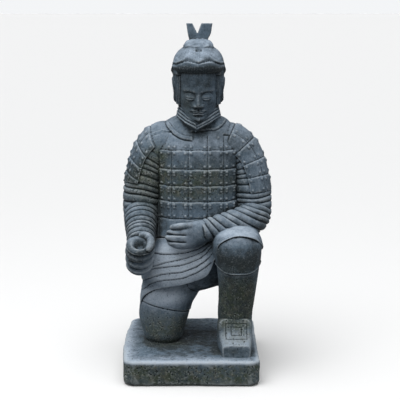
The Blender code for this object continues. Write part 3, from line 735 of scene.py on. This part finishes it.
def face_relief(x, z):
    """How far the features stand ahead of the plain head."""
    spread = np.abs(x)
    cheek = 3.4 * bump(spread, z, 37, -20, 15, 12) - 2 * bump(spread, z, 41, -50, 12, 13)
    fold = -0.9 * line(np.hypot(spread - 2, (z + 30) * 0.8) - 24, 2.2)
    fold = fold * ramp(spread, 14, 18) * ramp(-z, 36, 42)
    chin = 6.5 * bump(x, z, 0, CHIN_LEVEL, 14, 8) - 2.2 * bump(x, z, 0, -65, 12, 3)
    temple = -2.5 * bump(spread, z, 52, 12, 8, 16)
    features = eyes(spread, z) + brows(spread, z) + nose(x, z) + mouth(x, z) + beard(x, z)
    return features + cheek + fold + chin + temple


def head():
    """The head, its face on a finer grid than the back."""
    face, behind = np.linspace(22, 158, 300), np.linspace(160, 380, 60)
    turn = np.radians(np.concatenate([face, behind]))
    grid = column(HEAD, levels(-84, 88, 0.8), turn, 2.2)
    x, y, z = axes(grid)
    y -= face_relief(x, z) * ramp(-y, 0, 14)
    return bowed(grid)


def hair_wave(turn, height):
    """The front hair is rolled up in two arches, and the hair under them lies further in."""
    aside = np.abs(np.cos(turn))
    above = height - 90 - 9 * np.sin(pi * share(aside / 0.86)) + 22 * ramp(aside, 0.45, 1)
    ridge = 2 * line(above - 5, 5) - (2.4 - 1.5 * ramp(aside, 0.45, 0.75)) * line(above + 3, 4.2)
    return ridge - 1.6 * (1 - ramp(above, -4, 4)) * ramp(height, 54, 64)


def hair():
    height, turn = levels(-46, 138.5, 1), evenly(560)
    grid = column(HAIR, height, turn, 2.1)
    x, front = grid[..., 0], np.sin(turn)
    ahead = ramp(front, 0, 0.35)
    strands = np.sin(turn * 67 + 2 * np.sin(3 * turn) + 0.05 * height)
    strands = strands + 0.8 * np.sin(turn * 41 - 0.07 * height)
    out = (0.34 - 0.16 * ahead) * (1 - ramp(height, 112, BUN_FOOT)) * strands
    out += braid(x, height) * (front < 0)
    out += hair_wave(turn, height) * ahead
    out -= 5.5 * (1 - ramp(np.abs(x - 1), 6, 12)) * line(height - 115, 1.7) * (front > 0)
    out += 0.6 * np.sin(turn * 9 + height * 0.35) * ramp(height, 119, 122)
    out += 2.5 * np.sin(pi * share((height - 22) / 20))
    grid = relief(grid, out)
    x, y, z = axes(grid)
    hairline = 6 - 34 * ramp(height, 10, 24) - 16 * ramp(height, 26, 34)
    y += np.clip(hairline - y, 0, None) * share((44 - height) / 6)
    z += HAIR_LIFT * ahead * share((98 - height) / 44)
    z += BUN_LIFT * ramp(front, 0.3, 0.9) * line(height - BUN_FOOT, 10)
    return [bowed(grid), ear(-1), ear(1), sideburn(-1), sideburn(1)]


def sideburn(side):
    """The flat lock between the cheek and the ear."""
    lock = [
        (side * 59, -25, 58, 16, 7), (side * 59, -26, 20, 16, 7), (side * 58, -24, -16, 14, 6.5),
        (side * 56, -20, -42, 11, 6),
    ]
    turn = evenly(120)
    grid = tube(lock, span(120), turn, (side * 0.55, 0.835, 0), 2.6, along=(0, 0, 1))
    return bowed(relief(grid, 0.7 * np.sin(11 * turn)))


def braid(x, height):
    """A flat braid that runs up the back of the head."""
    spread = np.abs(x)
    weave = np.abs(np.sin((height + 0.9 * spread) * pi / 9)) ** 0.7
    body = (2.4 + 1.3 * weave) * (1 - ramp(spread, 10.5, 13)) - 1.4 * line(spread - 14, 1.4)
    return body * ramp(height, -44, -40) * (1 - ramp(height, 86, 96))


def ear(side):
    """An ear with its rim and its hollow, close to the head."""
    rows = [
        (side * 61, -1, -41, 5, 6), (side * 62, -2, -36, 8, 11), (side * 62.5, -4, -22, 9, 14),
        (side * 63.5, -6, 0, 9.5, 17), (side * 65, -8, 16, 9.5, 19), (side * 66, -8, 30, 9, 18),
        (side * 66, -7, 42, 7, 12),
    ]
    grid = tube(rows, span(120), evenly(160), power=2.8, along=(0, 0, 1))
    x, y, z = grid[..., 0], grid[..., 1] + 6, grid[..., 2] - 1
    rim = 2.2 * line(np.hypot(y / 15, z / 34) - 0.92, 0.13)
    hollow = -5 * bump(y, z, 1, 2, 7, 15) + 1.4 * line(np.hypot((y - 1) / 9.5, (z - 2) / 20) - 1, 0.2)
    return bowed(relief(grid, (rim + hollow) * ramp(side * x, 66, 69)))


# The ribbon ends: where each starts, where it turns and its half-width there, its tip and that half-width.
RIBBONS = ((-10, -15.3, 14, -24.5, 9), (14, 18.8, 19, 26.4, 15.8))


def ribbons():
    """Two flat ribbon ends that stand up from the bun in a V."""
    skins = []
    for root, fork, fork_wide, tip, tip_wide in RIBBONS:
        rows = [
            (root, 44, 868, 15, 8), (root, 44, 886, 15.5, 7.5), (fork, 43, 903, fork_wide, 6.5),
            (tip, 41, 932, tip_wide, 5.5),
        ]
        skins.append(skin(tube(rows, span(50), evenly(80) + pi / 80, power=6, along=(0, 0, 1))))
    return skins


# The scarf: rolls wound round the neck that dip to a point in front.
SCARF = [
    (652, 2, 30, 56, 54), (664, 2, 31, 64, 70), (676, 2, 32, 63, 69), (688, 2, 33, 60, 65),
    (700, 2, 34, 56, 58), (708, 2, 34, 46, 46),
]
SCARF_ROLLS = 4
SCARF_DIP = 33


def scarf():
    low, high = SCARF[1][0], SCARF[-2][0]
    height = levels(SCARF[0][0], SCARF[-1][0], 0.6)
    grid = column(SCARF, height, evenly(420))
    x, front = grid[..., 0], grid[..., 1] < 30
    f = (height + 4.5 * ramp(x, -6, -2) * front - low) / (high - low) * SCARF_ROLLS
    roll = 4.2 * (np.abs(np.sin(pi * np.clip(f, 0, SCARF_ROLLS))) ** 0.6 - 0.75)
    over = 2.5 * (1 - ramp(x, -6, -2)) * ramp(x, -40, -10) * front
    grid = relief(grid, roll + over)
    x, y, z = axes(grid)
    z -= SCARF_DIP * share((34 - y) / 60) * share(1 - np.abs(x + 5) / 68)
    return skin(grid)


# How the stone is cut: the forms become one skin, which is weathered and thinned out.
def mesh_from(name, points, faces):
    """A mesh of faces that all have the same number of corners."""
    mesh = bpy.data.meshes.new(name)
    mesh.vertices.add(len(points))
    mesh.vertices.foreach_set("co", points.ravel())
    mesh.loops.add(faces.size)
    mesh.loops.foreach_set("vertex_index", faces.ravel())
    mesh.polygons.add(len(faces))
    mesh.polygons.foreach_set("loop_start", np.arange(0, faces.size, faces.shape[1]))
    mesh.update(calc_edges=True)
    return mesh


def joined(skins):
    """Several skins as one list of points and one of triangles."""
    starts = np.cumsum([0] + [len(points) for points, _ in skins[:-1]])
    points = np.concatenate([points for points, _ in skins])
    return points, np.concatenate([faces + start for (_, faces), start in zip(skins, starts)])


def new_object(name, data, place=(0, 0, 0), turn=(0, 0, 0)):
    item = bpy.data.objects.new(name, data)
    item.location, item.rotation_euler = place, turn
    bpy.context.scene.collection.objects.link(item)
    return item


def applied(item):
    """A new mesh of the object with its modifiers applied. The object goes."""
    graph = bpy.context.evaluated_depsgraph_get()
    mesh = bpy.data.meshes.new_from_object(item.evaluated_get(graph))
    old = item.data
    bpy.data.objects.remove(item)
    bpy.data.meshes.remove(old)
    return mesh


def one_skin(skins, grain):
    """The points and the four-cornered faces of one skin round all the forms."""
    item = new_object("rough_block", mesh_from("rough_block", *joined(skins)))
    cut = item.modifiers.new("cut", "REMESH")
    cut.mode = "VOXEL"
    cut.voxel_size = grain
    mesh = applied(item)
    points = np.empty(len(mesh.vertices) * 3)
    mesh.vertices.foreach_get("co", points)
    corners = np.empty(len(mesh.loops), int)
    mesh.loops.foreach_get("vertex_index", corners)
    bpy.data.meshes.remove(mesh)
    return outer_skin(points.reshape(-1, 3), corners.reshape(-1, 4))


def sides_of(faces):
    """The edges round the faces, each as often as a face has it."""
    return np.concatenate([np.stack([faces[:, i], faces[:, i - 1]], axis=1) for i in range(4)])


def outer_skin(points, faces):
    """Leaves out the skins of bubbles that are shut in between the forms."""
    label, before = np.arange(len(points)), None
    a, b = sides_of(faces).T
    while before is None or (label != before).any():
        before = label.copy()
        low = np.minimum(label[a], label[b])
        np.minimum.at(label, a, low)
        np.minimum.at(label, b, low)
        label = label[label]
    kept = label == np.bincount(label).argmax()
    renumber = np.cumsum(kept) - 1
    return points[kept], renumber[faces[kept[faces[:, 0]]]]


def settled(values, edges, rounds):
    """Points, or other rows of values, drawn towards the middle of their neighbours."""
    a, b = edges.T
    size = len(values)
    count = np.bincount(a, minlength=size) + np.bincount(b, minlength=size)
    for _ in range(rounds):
        sums = [np.bincount(a, part[b], size) + np.bincount(b, part[a], size) for part in values.T]
        values = (values + np.stack(sums, axis=1) / count[:, None]) / 2
    return values


def outward(points, faces):
    """The unit normal at each point."""
    p, size = points[faces], len(points)
    normals = np.cross(p[:, 2] - p[:, 0], p[:, 3] - p[:, 1])
    sums = [sum(np.bincount(corner, part, size) for corner in faces.T) for part in normals.T]
    return unit(np.stack(sums, axis=1))


# Where moss and dirt sit on the figure, in its own parts. Each soft patch is its middle, its reach
# and its strength.
MOSSY = [
    (0, -40, 478, 125, 60, 48, 0.95), (-40, -40, 440, 60, 60, 30, 0.4), (-150, 10, 460, 55, 70, 60, 1),
    (-125, -20, 515, 40, 60, 65, 0.9), (-110, -55, 560, 30, 50, 40, 0.5),
    (112, -150, 130, 75, 80, 115, 1), (-100, -50, 42, 90, 60, 50, 0.9), (-40, -40, 690, 40, 60, 60, 0.3),
    (-95, 200, 40, 60, 60, 60, 0.7), (40, 150, 190, 160, 70, 60, 0.6), (0, 140, 430, 140, 60, 80, 0.4),
]

# Painted light and shade: where the stone is painted paler than its shelter alone makes it, as though
# better lit, or painted darker as shade, such as shadow on the plinth beside the boot, for a strength
# below 0.
LIGHT_AND_SHADE_PATCHES = [
    (-70, -90, 245, 110, 78, 62, 2.15), (-95, -40, 145, 85, 60, 36, 1.30),
    (-95, -50, 50, 80, 60, 50, 0.30), (-103, -50, 0, 62, 62, 10, -0.60), (110, -160, 46, 55, 45, 26, 0.80),
    (52, -140, 0, 14, 60, 14, -0.50), (-45, -115, 335, 60, 40, 40, 0.40),
    (105, -140, 352, 80, 70, 24, 0.30), (120, -150, 285, 75, 60, 34, -0.45),
    (112, -140, 150, 80, 70, 75, -0.30), (112, -160, 234, 48, 60, 6, 0.55),
    (-165, -130, 275, 60, 80, 55, -0.45), (-167, -30, 370, 60, 70, 50, -0.30),
    (-165, 10, 500, 60, 80, 60, -0.50), (165, 20, 500, 60, 80, 80, 0.16), (0, -50, 600, 105, 60, 40, 0.12),
    (0, -70, 803, 100, 70, 14, -0.42), (-17, -222, 0, 260, 45, 14, 0.42),
    (-205, -20, 0, 45, 210, 14, 0.35), (20, 10, 0, 75, 130, 12, -0.15), (-60, -135, 0, 95, 42, 12, -0.10),
]


def spread_over(points, patches):
    """The sum of some soft patches at each place."""
    place = (points - (0, 0, PLINTH_HEIGHT)) / PART - (MIDDLE, 0, 0)
    total = np.zeros(len(points))
    for *middle_and_reach, strength in patches:
        middle, reach = np.array(middle_and_reach).reshape(2, 3)
        far = (((place - middle) / reach) ** 2).sum(axis=1)
        total += strength * np.exp(-(far**1.5))
    return total


def mossiness(points):
    """How much moss and dirt each place may hold, from 0 to 1."""
    sides = 1 - ramp(points[:, 2], PLINTH_HEIGHT - 0.014, PLINTH_HEIGHT - 0.004)
    return share(sides + spread_over(points, MOSSY))


MILLIMETRE = 0.001
SKY_CELL = 0.008
SKY_REACH = 24  # in cells
SKY_OFF = 1.7  # how far off the stone the sky is looked at, in cells
SKY_RINGS = ((90, 1, 1), (58, 6, 1), (28, 8, 0.7), (6, 8, 0.4))  # height in degrees, count, brightness


def sky_over(stone_points):
    """Makes the function that says how much of the sky places see past the rest of the stone."""
    low = stone_points.min(axis=0) - SKY_CELL * SKY_REACH
    size = ((stone_points.max(axis=0) - low) / SKY_CELL + SKY_REACH).astype(int)

    def cells(points):
        return tuple(((points - low) / SKY_CELL).astype(int).T)

    def hidden(way):
        """The cells from which the stone stands in this way."""
        found = np.zeros(size, bool)
        for step in range(1, SKY_REACH):
            found |= np.roll(stone, tuple(-np.round(way * step).astype(int)), axis=(0, 1, 2))
        return found

    stone = np.zeros(size, bool)
    stone[cells(stone_points)] = True
    parts = []
    for height, count, light in SKY_RINGS:
        level, rise = cos(radians(height)), sin(radians(height))
        ways = [np.array([level * cos(turn), level * sin(turn), rise]) for turn in evenly(count)]
        parts += [(way, light, hidden(way)) for way in ways]

    def seen(points, normals):
        """From 0 in deep shelter to 1 on open level ground."""
        at = cells(points + normals * SKY_OFF * SKY_CELL)
        light_in = sum(share(normals @ way) * light * ~shut[at] for way, light, shut in parts)
        return light_in / sum(way[2] * light for way, light, _ in parts)

    return seen


def weathered(points, faces, moss, rough):
    """The skin with its unevenness and pits. Near the ground it keeps its true place."""
    hills, grains = Noise(3), Noise(8)
    out = 0.5 * hills(points, 0.035) + 0.22 * grains(points, 0.007) + 0.16 * grains(points, 0.0035)
    out -= (0.25 + 0.6 * moss) * ramp(grains(points, 0.0045), 0.42, 0.75)
    out += rough * (1.6 * hills(points, 0.070) + 0.9 * hills(points, 0.020) + 0.35 * grains(points, 0.009))
    out *= ramp(points[:, 2], 0, 0.004)
    return points + outward(points, faces) * (out * MILLIMETRE)[:, None]


def proud_and_painted_light(points, faces, sky):
    """How far each place stands proud of those round it, in millimetres, and its painted light: the sky it
    sees, painted paler where open and as shade where sheltered.
    """
    edges = sides_of(faces)
    near = settled(points, edges, 4)
    wide = settled(near, edges, 14)
    normals = outward(near, faces)
    proud = ((points - near) * normals).sum(axis=1) * 3 + ((points - wide) * normals).sum(axis=1)
    # Painted light: the sky each place sees, past the rest of the stone.
    painted_sky_light = settled(sky(near, normals)[:, None], edges, 10)[:, 0]
    x, y, z = points.T
    inside = np.maximum(np.abs(x) - PLINTH_WIDTH / 2, np.abs(y) - PLINTH_DEPTH / 2)
    # The plinth's top, away from its rim, gets less of the painted sky light, so it is painted darker.
    dimmed_top = 1 - ramp(z, PLINTH_HEIGHT + 0.002, PLINTH_HEIGHT + 0.006)
    dimmed_top *= 1 - ramp(inside, -0.030, -0.010)
    # A band along the plinth's top edge is painted paler.
    pale_rim = line(z - PLINTH_HEIGHT + 0.003, 0.004) * ramp(inside, -0.014, -0.005)
    # The painted light level, with the painted light and shade patches added in.
    painted_sky_light = painted_sky_light * (1 - 0.42 * dimmed_top) + spread_over(points, LIGHT_AND_SHADE_PATCHES) + 0.55 * pale_rim
    return proud / MILLIMETRE, painted_sky_light


def carve(name, skins, sky, box):
    """One piece of the stone, kept inside the box of the solids."""
    grain, triangles, rough = CUT[name]
    points, faces = one_skin(skins, grain)
    points = settled(points, sides_of(faces), 2)
    moss = mossiness(points)
    points = np.clip(weathered(points, faces, moss, rough), *box)
    proud, painted_sky_light = proud_and_painted_light(points, faces, sky)
    mesh = mesh_from(name, points, faces)
    # The sky attribute carries the painted light level; proud drives the painted highlights and groove
    # shade.
    for label, values in (("moss", moss), ("proud", proud), ("sky", painted_sky_light)):
        mesh.attributes.new(label, "FLOAT", "POINT").data.foreach_set("value", values.astype(np.float32))
    item = new_object(name, mesh)
    item.modifiers.new("thin", "DECIMATE").ratio = min(1, triangles / (2 * len(faces)))
    piece = new_object(name, applied(item))
    piece.data.polygons.foreach_set("use_smooth", [True] * len(piece.data.polygons))
    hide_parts(NODE)
    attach(piece, "root")
    return piece


def plinth():
    """The rough block under the figure, its corners and edges rounded."""
    build = bmesh.new()
    bmesh.ops.create_cube(build, size=1)
    bmesh.ops.scale(build, vec=(PLINTH_WIDTH, PLINTH_DEPTH, PLINTH_HEIGHT), verts=build.verts)
    bmesh.ops.translate(build, vec=(0, 0, PLINTH_HEIGHT / 2), verts=build.verts)

    def running(axis, least):
        return [e for e in build.edges if abs(e.verts[0].co[axis] - e.verts[1].co[axis]) > least]

    def rounded(edges, radius, segments):
        bmesh.ops.bevel(build, geom=edges, offset=radius, segments=segments, profile=0.5, affect="EDGES")

    rounded(running(2, PLINTH_HEIGHT / 2), PLINTH_CORNER, 10)
    for height, radius in ((0, PLINTH_FOOT), (PLINTH_HEIGHT, PLINTH_EDGE)):
        rim = [e for e in build.edges if all(abs(v.co.z - height) < 1e-5 for v in e.verts)]
        rounded(rim, radius, 5)
    bmesh.ops.subdivide_edges(build, edges=running(1, PLINTH_DEPTH / 2), cuts=24, use_grid_fill=True)
    bmesh.ops.triangulate(build, faces=build.faces)
    build.verts.ensure_lookup_table()
    points = np.array([v.co for v in build.verts])
    triangles = np.array([[v.index for v in face.verts] for face in build.faces])
    build.free()
    bow = share(1 - (points[:, 1] / BOW_HALF) ** 2) * (points[:, 0] < -0.15)
    points[:, 0] -= PLINTH_BOW * bow
    return points, triangles


# The stone's finish. Each call below finds the node tree by the socket that it is given.
def add(tree, kind, inputs=(), **settings):
    """A shader node with its settings and with its inputs linked or set."""
    made = tree.nodes.new(kind)
    for key, value in settings.items():
        setattr(made, key, value)
    for key, value in inputs:
        if isinstance(value, bpy.types.NodeSocket):
            tree.links.new(value, made.inputs[key])
        else:
            made.inputs[key].default_value = value
    return made


def noise(place, scale, detail=3, rough=0.55):
    inputs = (("Vector", place), ("Scale", scale), ("Detail", detail), ("Roughness", rough))
    return add(place.id_data, "ShaderNodeTexNoise", inputs).outputs["Fac"]


def stretch(value, low, high, top=1, bottom=0):
    """The value spread so that low becomes bottom and high becomes top, and no further."""
    inputs = (("Value", value), ("From Min", low), ("From Max", high), ("To Min", bottom), ("To Max", top))
    return add(value.id_data, "ShaderNodeMapRange", inputs, clamp=True).outputs["Result"]


def reckon(operation, first, second):
    inputs = ((0, first), (1, second))
    return add(first.id_data, "ShaderNodeMath", inputs, operation=operation).outputs[0]


def times(first, second):
    return reckon("MULTIPLY", first, second)


def plus(first, second):
    return reckon("ADD", first, second)


def blend(amount, under, over):
    """One colour over another."""
    inputs = ((0, amount), (6, under), (7, over))
    return add(amount.id_data, "ShaderNodeMix", inputs, data_type="RGBA").outputs[2]


BLUE_GREY = (0.090, 0.128, 0.168, 1)
SLATE = (0.052, 0.070, 0.086, 1)
# Painted light: the pale colours of places that see much of the sky.
SKY_LIT_PALE = (0.200, 0.248, 0.305, 1)
BRIGHT_SKY_LIT_PALE = (0.35, 0.41, 0.48, 1)
# Random pale grains, and the paler colour of raised places, partly wear and partly painted highlight.
PALE_GRAIN_AND_HIGHLIGHT = (0.31, 0.34, 0.36, 1)
# The dark of painted shade in sheltered places, also used for random dark specks.
SHADE_AND_DARK_SPECKS = (0.020, 0.025, 0.026, 1)
# Painted shade in grooves and hollows.
GROOVE_SHADE = (0.010, 0.013, 0.014, 1)
MOSS_GREEN = (0.040, 0.051, 0.031, 1)
EARTH = (0.100, 0.100, 0.080, 1)
LICHEN = (0.18, 0.20, 0.14, 1)


def stone_with_painted_light():
    """Blue-grey stone with painted light: paler where it sees the sky and painted shade where it doesn't,
    with moss, painted shade in its grooves, and raised places painted paler as wear and as painted
    highlight.
    """
    material, surface = new_material("stone_with_painted_light")
    tree = material.node_tree
    place = add(tree, "ShaderNodeTexCoord").outputs["Object"]
    labels = [add(tree, "ShaderNodeAttribute", attribute_name=name) for name in ("proud", "moss", "sky")]
    proud, moss, sky = (label.outputs["Fac"] for label in labels)
    broad, patch = noise(place, 11), noise(place, 45, 5, 0.65)
    fine, crumb = noise(place, 190, 6, 0.7), noise(place, 50, 5, 0.7)
    # The painted light level: the sky seen at each place with the painted light and shade patches, broken
    # up by noise.
    uneven = plus(sky, stretch(patch, 0.25, 0.75, 0.30, -0.30))
    colour = SLATE
    for amount, over in (
        (stretch(broad, 0.40, 0.60), BLUE_GREY),
        # Painted light: paler where the place sees more sky, palest where the patches add to it.
        (stretch(uneven, 0.42, 0.98, 0.95), SKY_LIT_PALE),
        (stretch(uneven, 0.90, 1.60), BRIGHT_SKY_LIT_PALE),
        # Painted shade: darker where the place sees little sky.
        (stretch(uneven, 0.36, 0.04, 0.80), SHADE_AND_DARK_SPECKS),
        (times(moss, stretch(patch, 0.35, 0.58, 0.90, 0.15)), MOSS_GREEN),
        (times(moss, stretch(crumb, 0.50, 0.64, 0.60)), EARTH),
        (times(moss, stretch(fine, 0.55, 0.66, 0.60)), LICHEN),
        (stretch(fine, 0.54, 0.70, 0.34), PALE_GRAIN_AND_HIGHLIGHT),
        # Random dark specks.
        (stretch(fine, 0.46, 0.32, 0.45), SHADE_AND_DARK_SPECKS),
        # Raised places painted paler: partly wear, partly a painted highlight.
        (times(stretch(proud, 0.25, 1.1, 0.65), stretch(patch, 0.35, 0.60, 1, 0.20)), PALE_GRAIN_AND_HIGHLIGHT),
        # Painted shade in grooves and hollows, where the place lies below those round it.
        (stretch(proud, -0.12, -0.9, 0.90), GROOVE_SHADE),
    ):
        colour = blend(amount, colour, over)
    tree.links.new(colour, surface.inputs["Base Color"])
    tree.links.new(stretch(fine, 0.3, 0.7, 0.92, 0.60), surface.inputs["Roughness"])
    tree.links.new(stone_bump(place), surface.inputs["Normal"])
    surface.inputs["Specular IOR Level"].default_value = 0.12
    return material


def new_material(name):
    """A new material and its surface."""
    material = bpy.data.materials.new(name)
    material.use_nodes = True
    return material, material.node_tree.nodes["Principled BSDF"]


def stone_bump(place):
    """Fine grain and pits."""
    cells = add(place.id_data, "ShaderNodeTexVoronoi", (("Vector", place), ("Scale", 260)))
    pits = stretch(cells.outputs["Distance"], 0, 0.35)
    dents = times(noise(place, 110, 5, 0.6), 2)
    height = plus(plus(noise(place, 420, 4, 0.6), pits), dents)
    inputs = (("Height", height), ("Strength", 0.55), ("Distance", 0.0010))
    return add(place.id_data, "ShaderNodeBump", inputs).outputs["Normal"]


# The room: a wide pale floor, soft light from above and the camera.
FLOOR_GREY = 0.69
FLOOR_REACH = 150
SOFT_BOX_AT, SOFT_BOX_AIM = (-0.5, -0.9, 2.3), (0, 0, 0.6)
CAMERA_AT = (0.0235, -3.3335, 1.054)
CAMERA_PITCH = radians(9.57)
LENS_PIXELS = 1153  # the lens as a length in pixels of the picture
PICTURE = 400
SENSOR = 36


def floor():
    """A floor that throws no light back up at the stone, so that what faces down stays dark."""
    material, surface = new_material("pale_floor")
    grey = (FLOOR_GREY, FLOOR_GREY, FLOOR_GREY, 1)
    for socket, value in (("Base Color", grey), ("Roughness", 1), ("Specular IOR Level", 0)):
        surface.inputs[socket].default_value = value
    points = FLOOR_REACH * np.array([(-1, -1, 0), (1, -1, 0), (1, 1, 0), (-1, 1, 0)], float)
    item = new_object("floor", mesh_from("floor", points, np.array([[0, 1, 2, 3]])))
    item.data.materials.append(material)
    item.visible_diffuse = False
    item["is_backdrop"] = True


def soft_box():
    """A wide lamp over the viewer's left shoulder."""
    light = bpy.data.lights.new("soft_box", "AREA")
    light.shape, light.size, light.energy = "SQUARE", 1.4, 16
    x, y, z = np.subtract(SOFT_BOX_AIM, SOFT_BOX_AT)
    tilt, turn = atan2(hypot(x, y), -z), atan2(x, -y) + pi
    new_object("soft_box", light, SOFT_BOX_AT, (tilt, 0, turn))


def ceiling_light():
    """Soft even light from above, such as a bright ceiling gives."""
    light = bpy.data.lights.new("ceiling_light", "SUN")
    light.energy, light.angle = 2.9, radians(75)
    new_object("ceiling_light", light, turn=(radians(14), radians(-8), 0))


def pale_walls():
    """A room that is bright near the floor's edge, dimmer overhead and dark below the floor."""
    world = bpy.data.worlds.new("pale_walls")
    world.use_nodes = True
    way = add(world.node_tree, "ShaderNodeTexCoord").outputs["Generated"]
    height = add(world.node_tree, "ShaderNodeSeparateXYZ", (("Vector", way),)).outputs["Z"]
    backdrop = world.node_tree.nodes["Background"]
    backdrop.inputs["Color"].default_value = (0.97, 0.985, 1, 1)
    light = times(stretch(height, 0.03, 0.14, 0.42, 0.93), stretch(height, -0.06, -0.012, 1, 0.14))
    world.node_tree.links.new(light, backdrop.inputs["Strength"])
    bpy.context.scene.world = world


def camera():
    lens = bpy.data.cameras.new("camera")
    lens.sensor_width = SENSOR
    lens.lens = SENSOR * LENS_PIXELS / PICTURE
    bpy.context.scene.camera = new_object("camera", lens, CAMERA_AT, (pi / 2 - CAMERA_PITCH, 0, 0))


def room():
    floor()
    ceiling_light()
    pale_walls()
    soft_box()
    camera()
    bpy.context.scene.view_settings.view_transform = "Standard"


def corners(box):
    """A box as plain lists of numbers."""
    return [[round(value, 5) for value in corner] for corner in box]


def armour():
    """The trunk, the arms and the hands."""
    left_sleeve = upper_arm(2.4, LEFT_GUARD[-1]) * MIRRORED + ARM_SHIFT
    x, y, z = axes(left_sleeve)
    return [
        trunk(),
        skin(upper_arm(0.6, RIGHT_GUARD[-1])),
        skin(relief(left_sleeve, yokes(x, z) * (y < YOKE_BACK))),
        skin(shoulder_guard(*RIGHT_GUARD)),
        skin(shoulder_guard(*LEFT_GUARD) * MIRRORED + ARM_SHIFT),
        forearm_across(),
        forearm_ahead(),
        *resting_hand(),
        *fist(),
    ]


def main():
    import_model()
    cad_box = corners(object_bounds())
    forms = {
        "warrior_head": [head(), *hair(), *ribbons(), scarf()],
        "warrior_armour": armour(),
        "warrior_robe": [lap(), seat(), *kneeling_leg(), *raised_leg()],
    }
    sky = sky_over(np.concatenate([points for skins in forms.values() for points, _ in skins]))
    forms["plinth"] = [plinth()]
    stone = stone_with_painted_light()
    for name, skins in forms.items():
        carve(name, skins, sky, cad_box).data.materials.append(stone)
    room()


main()
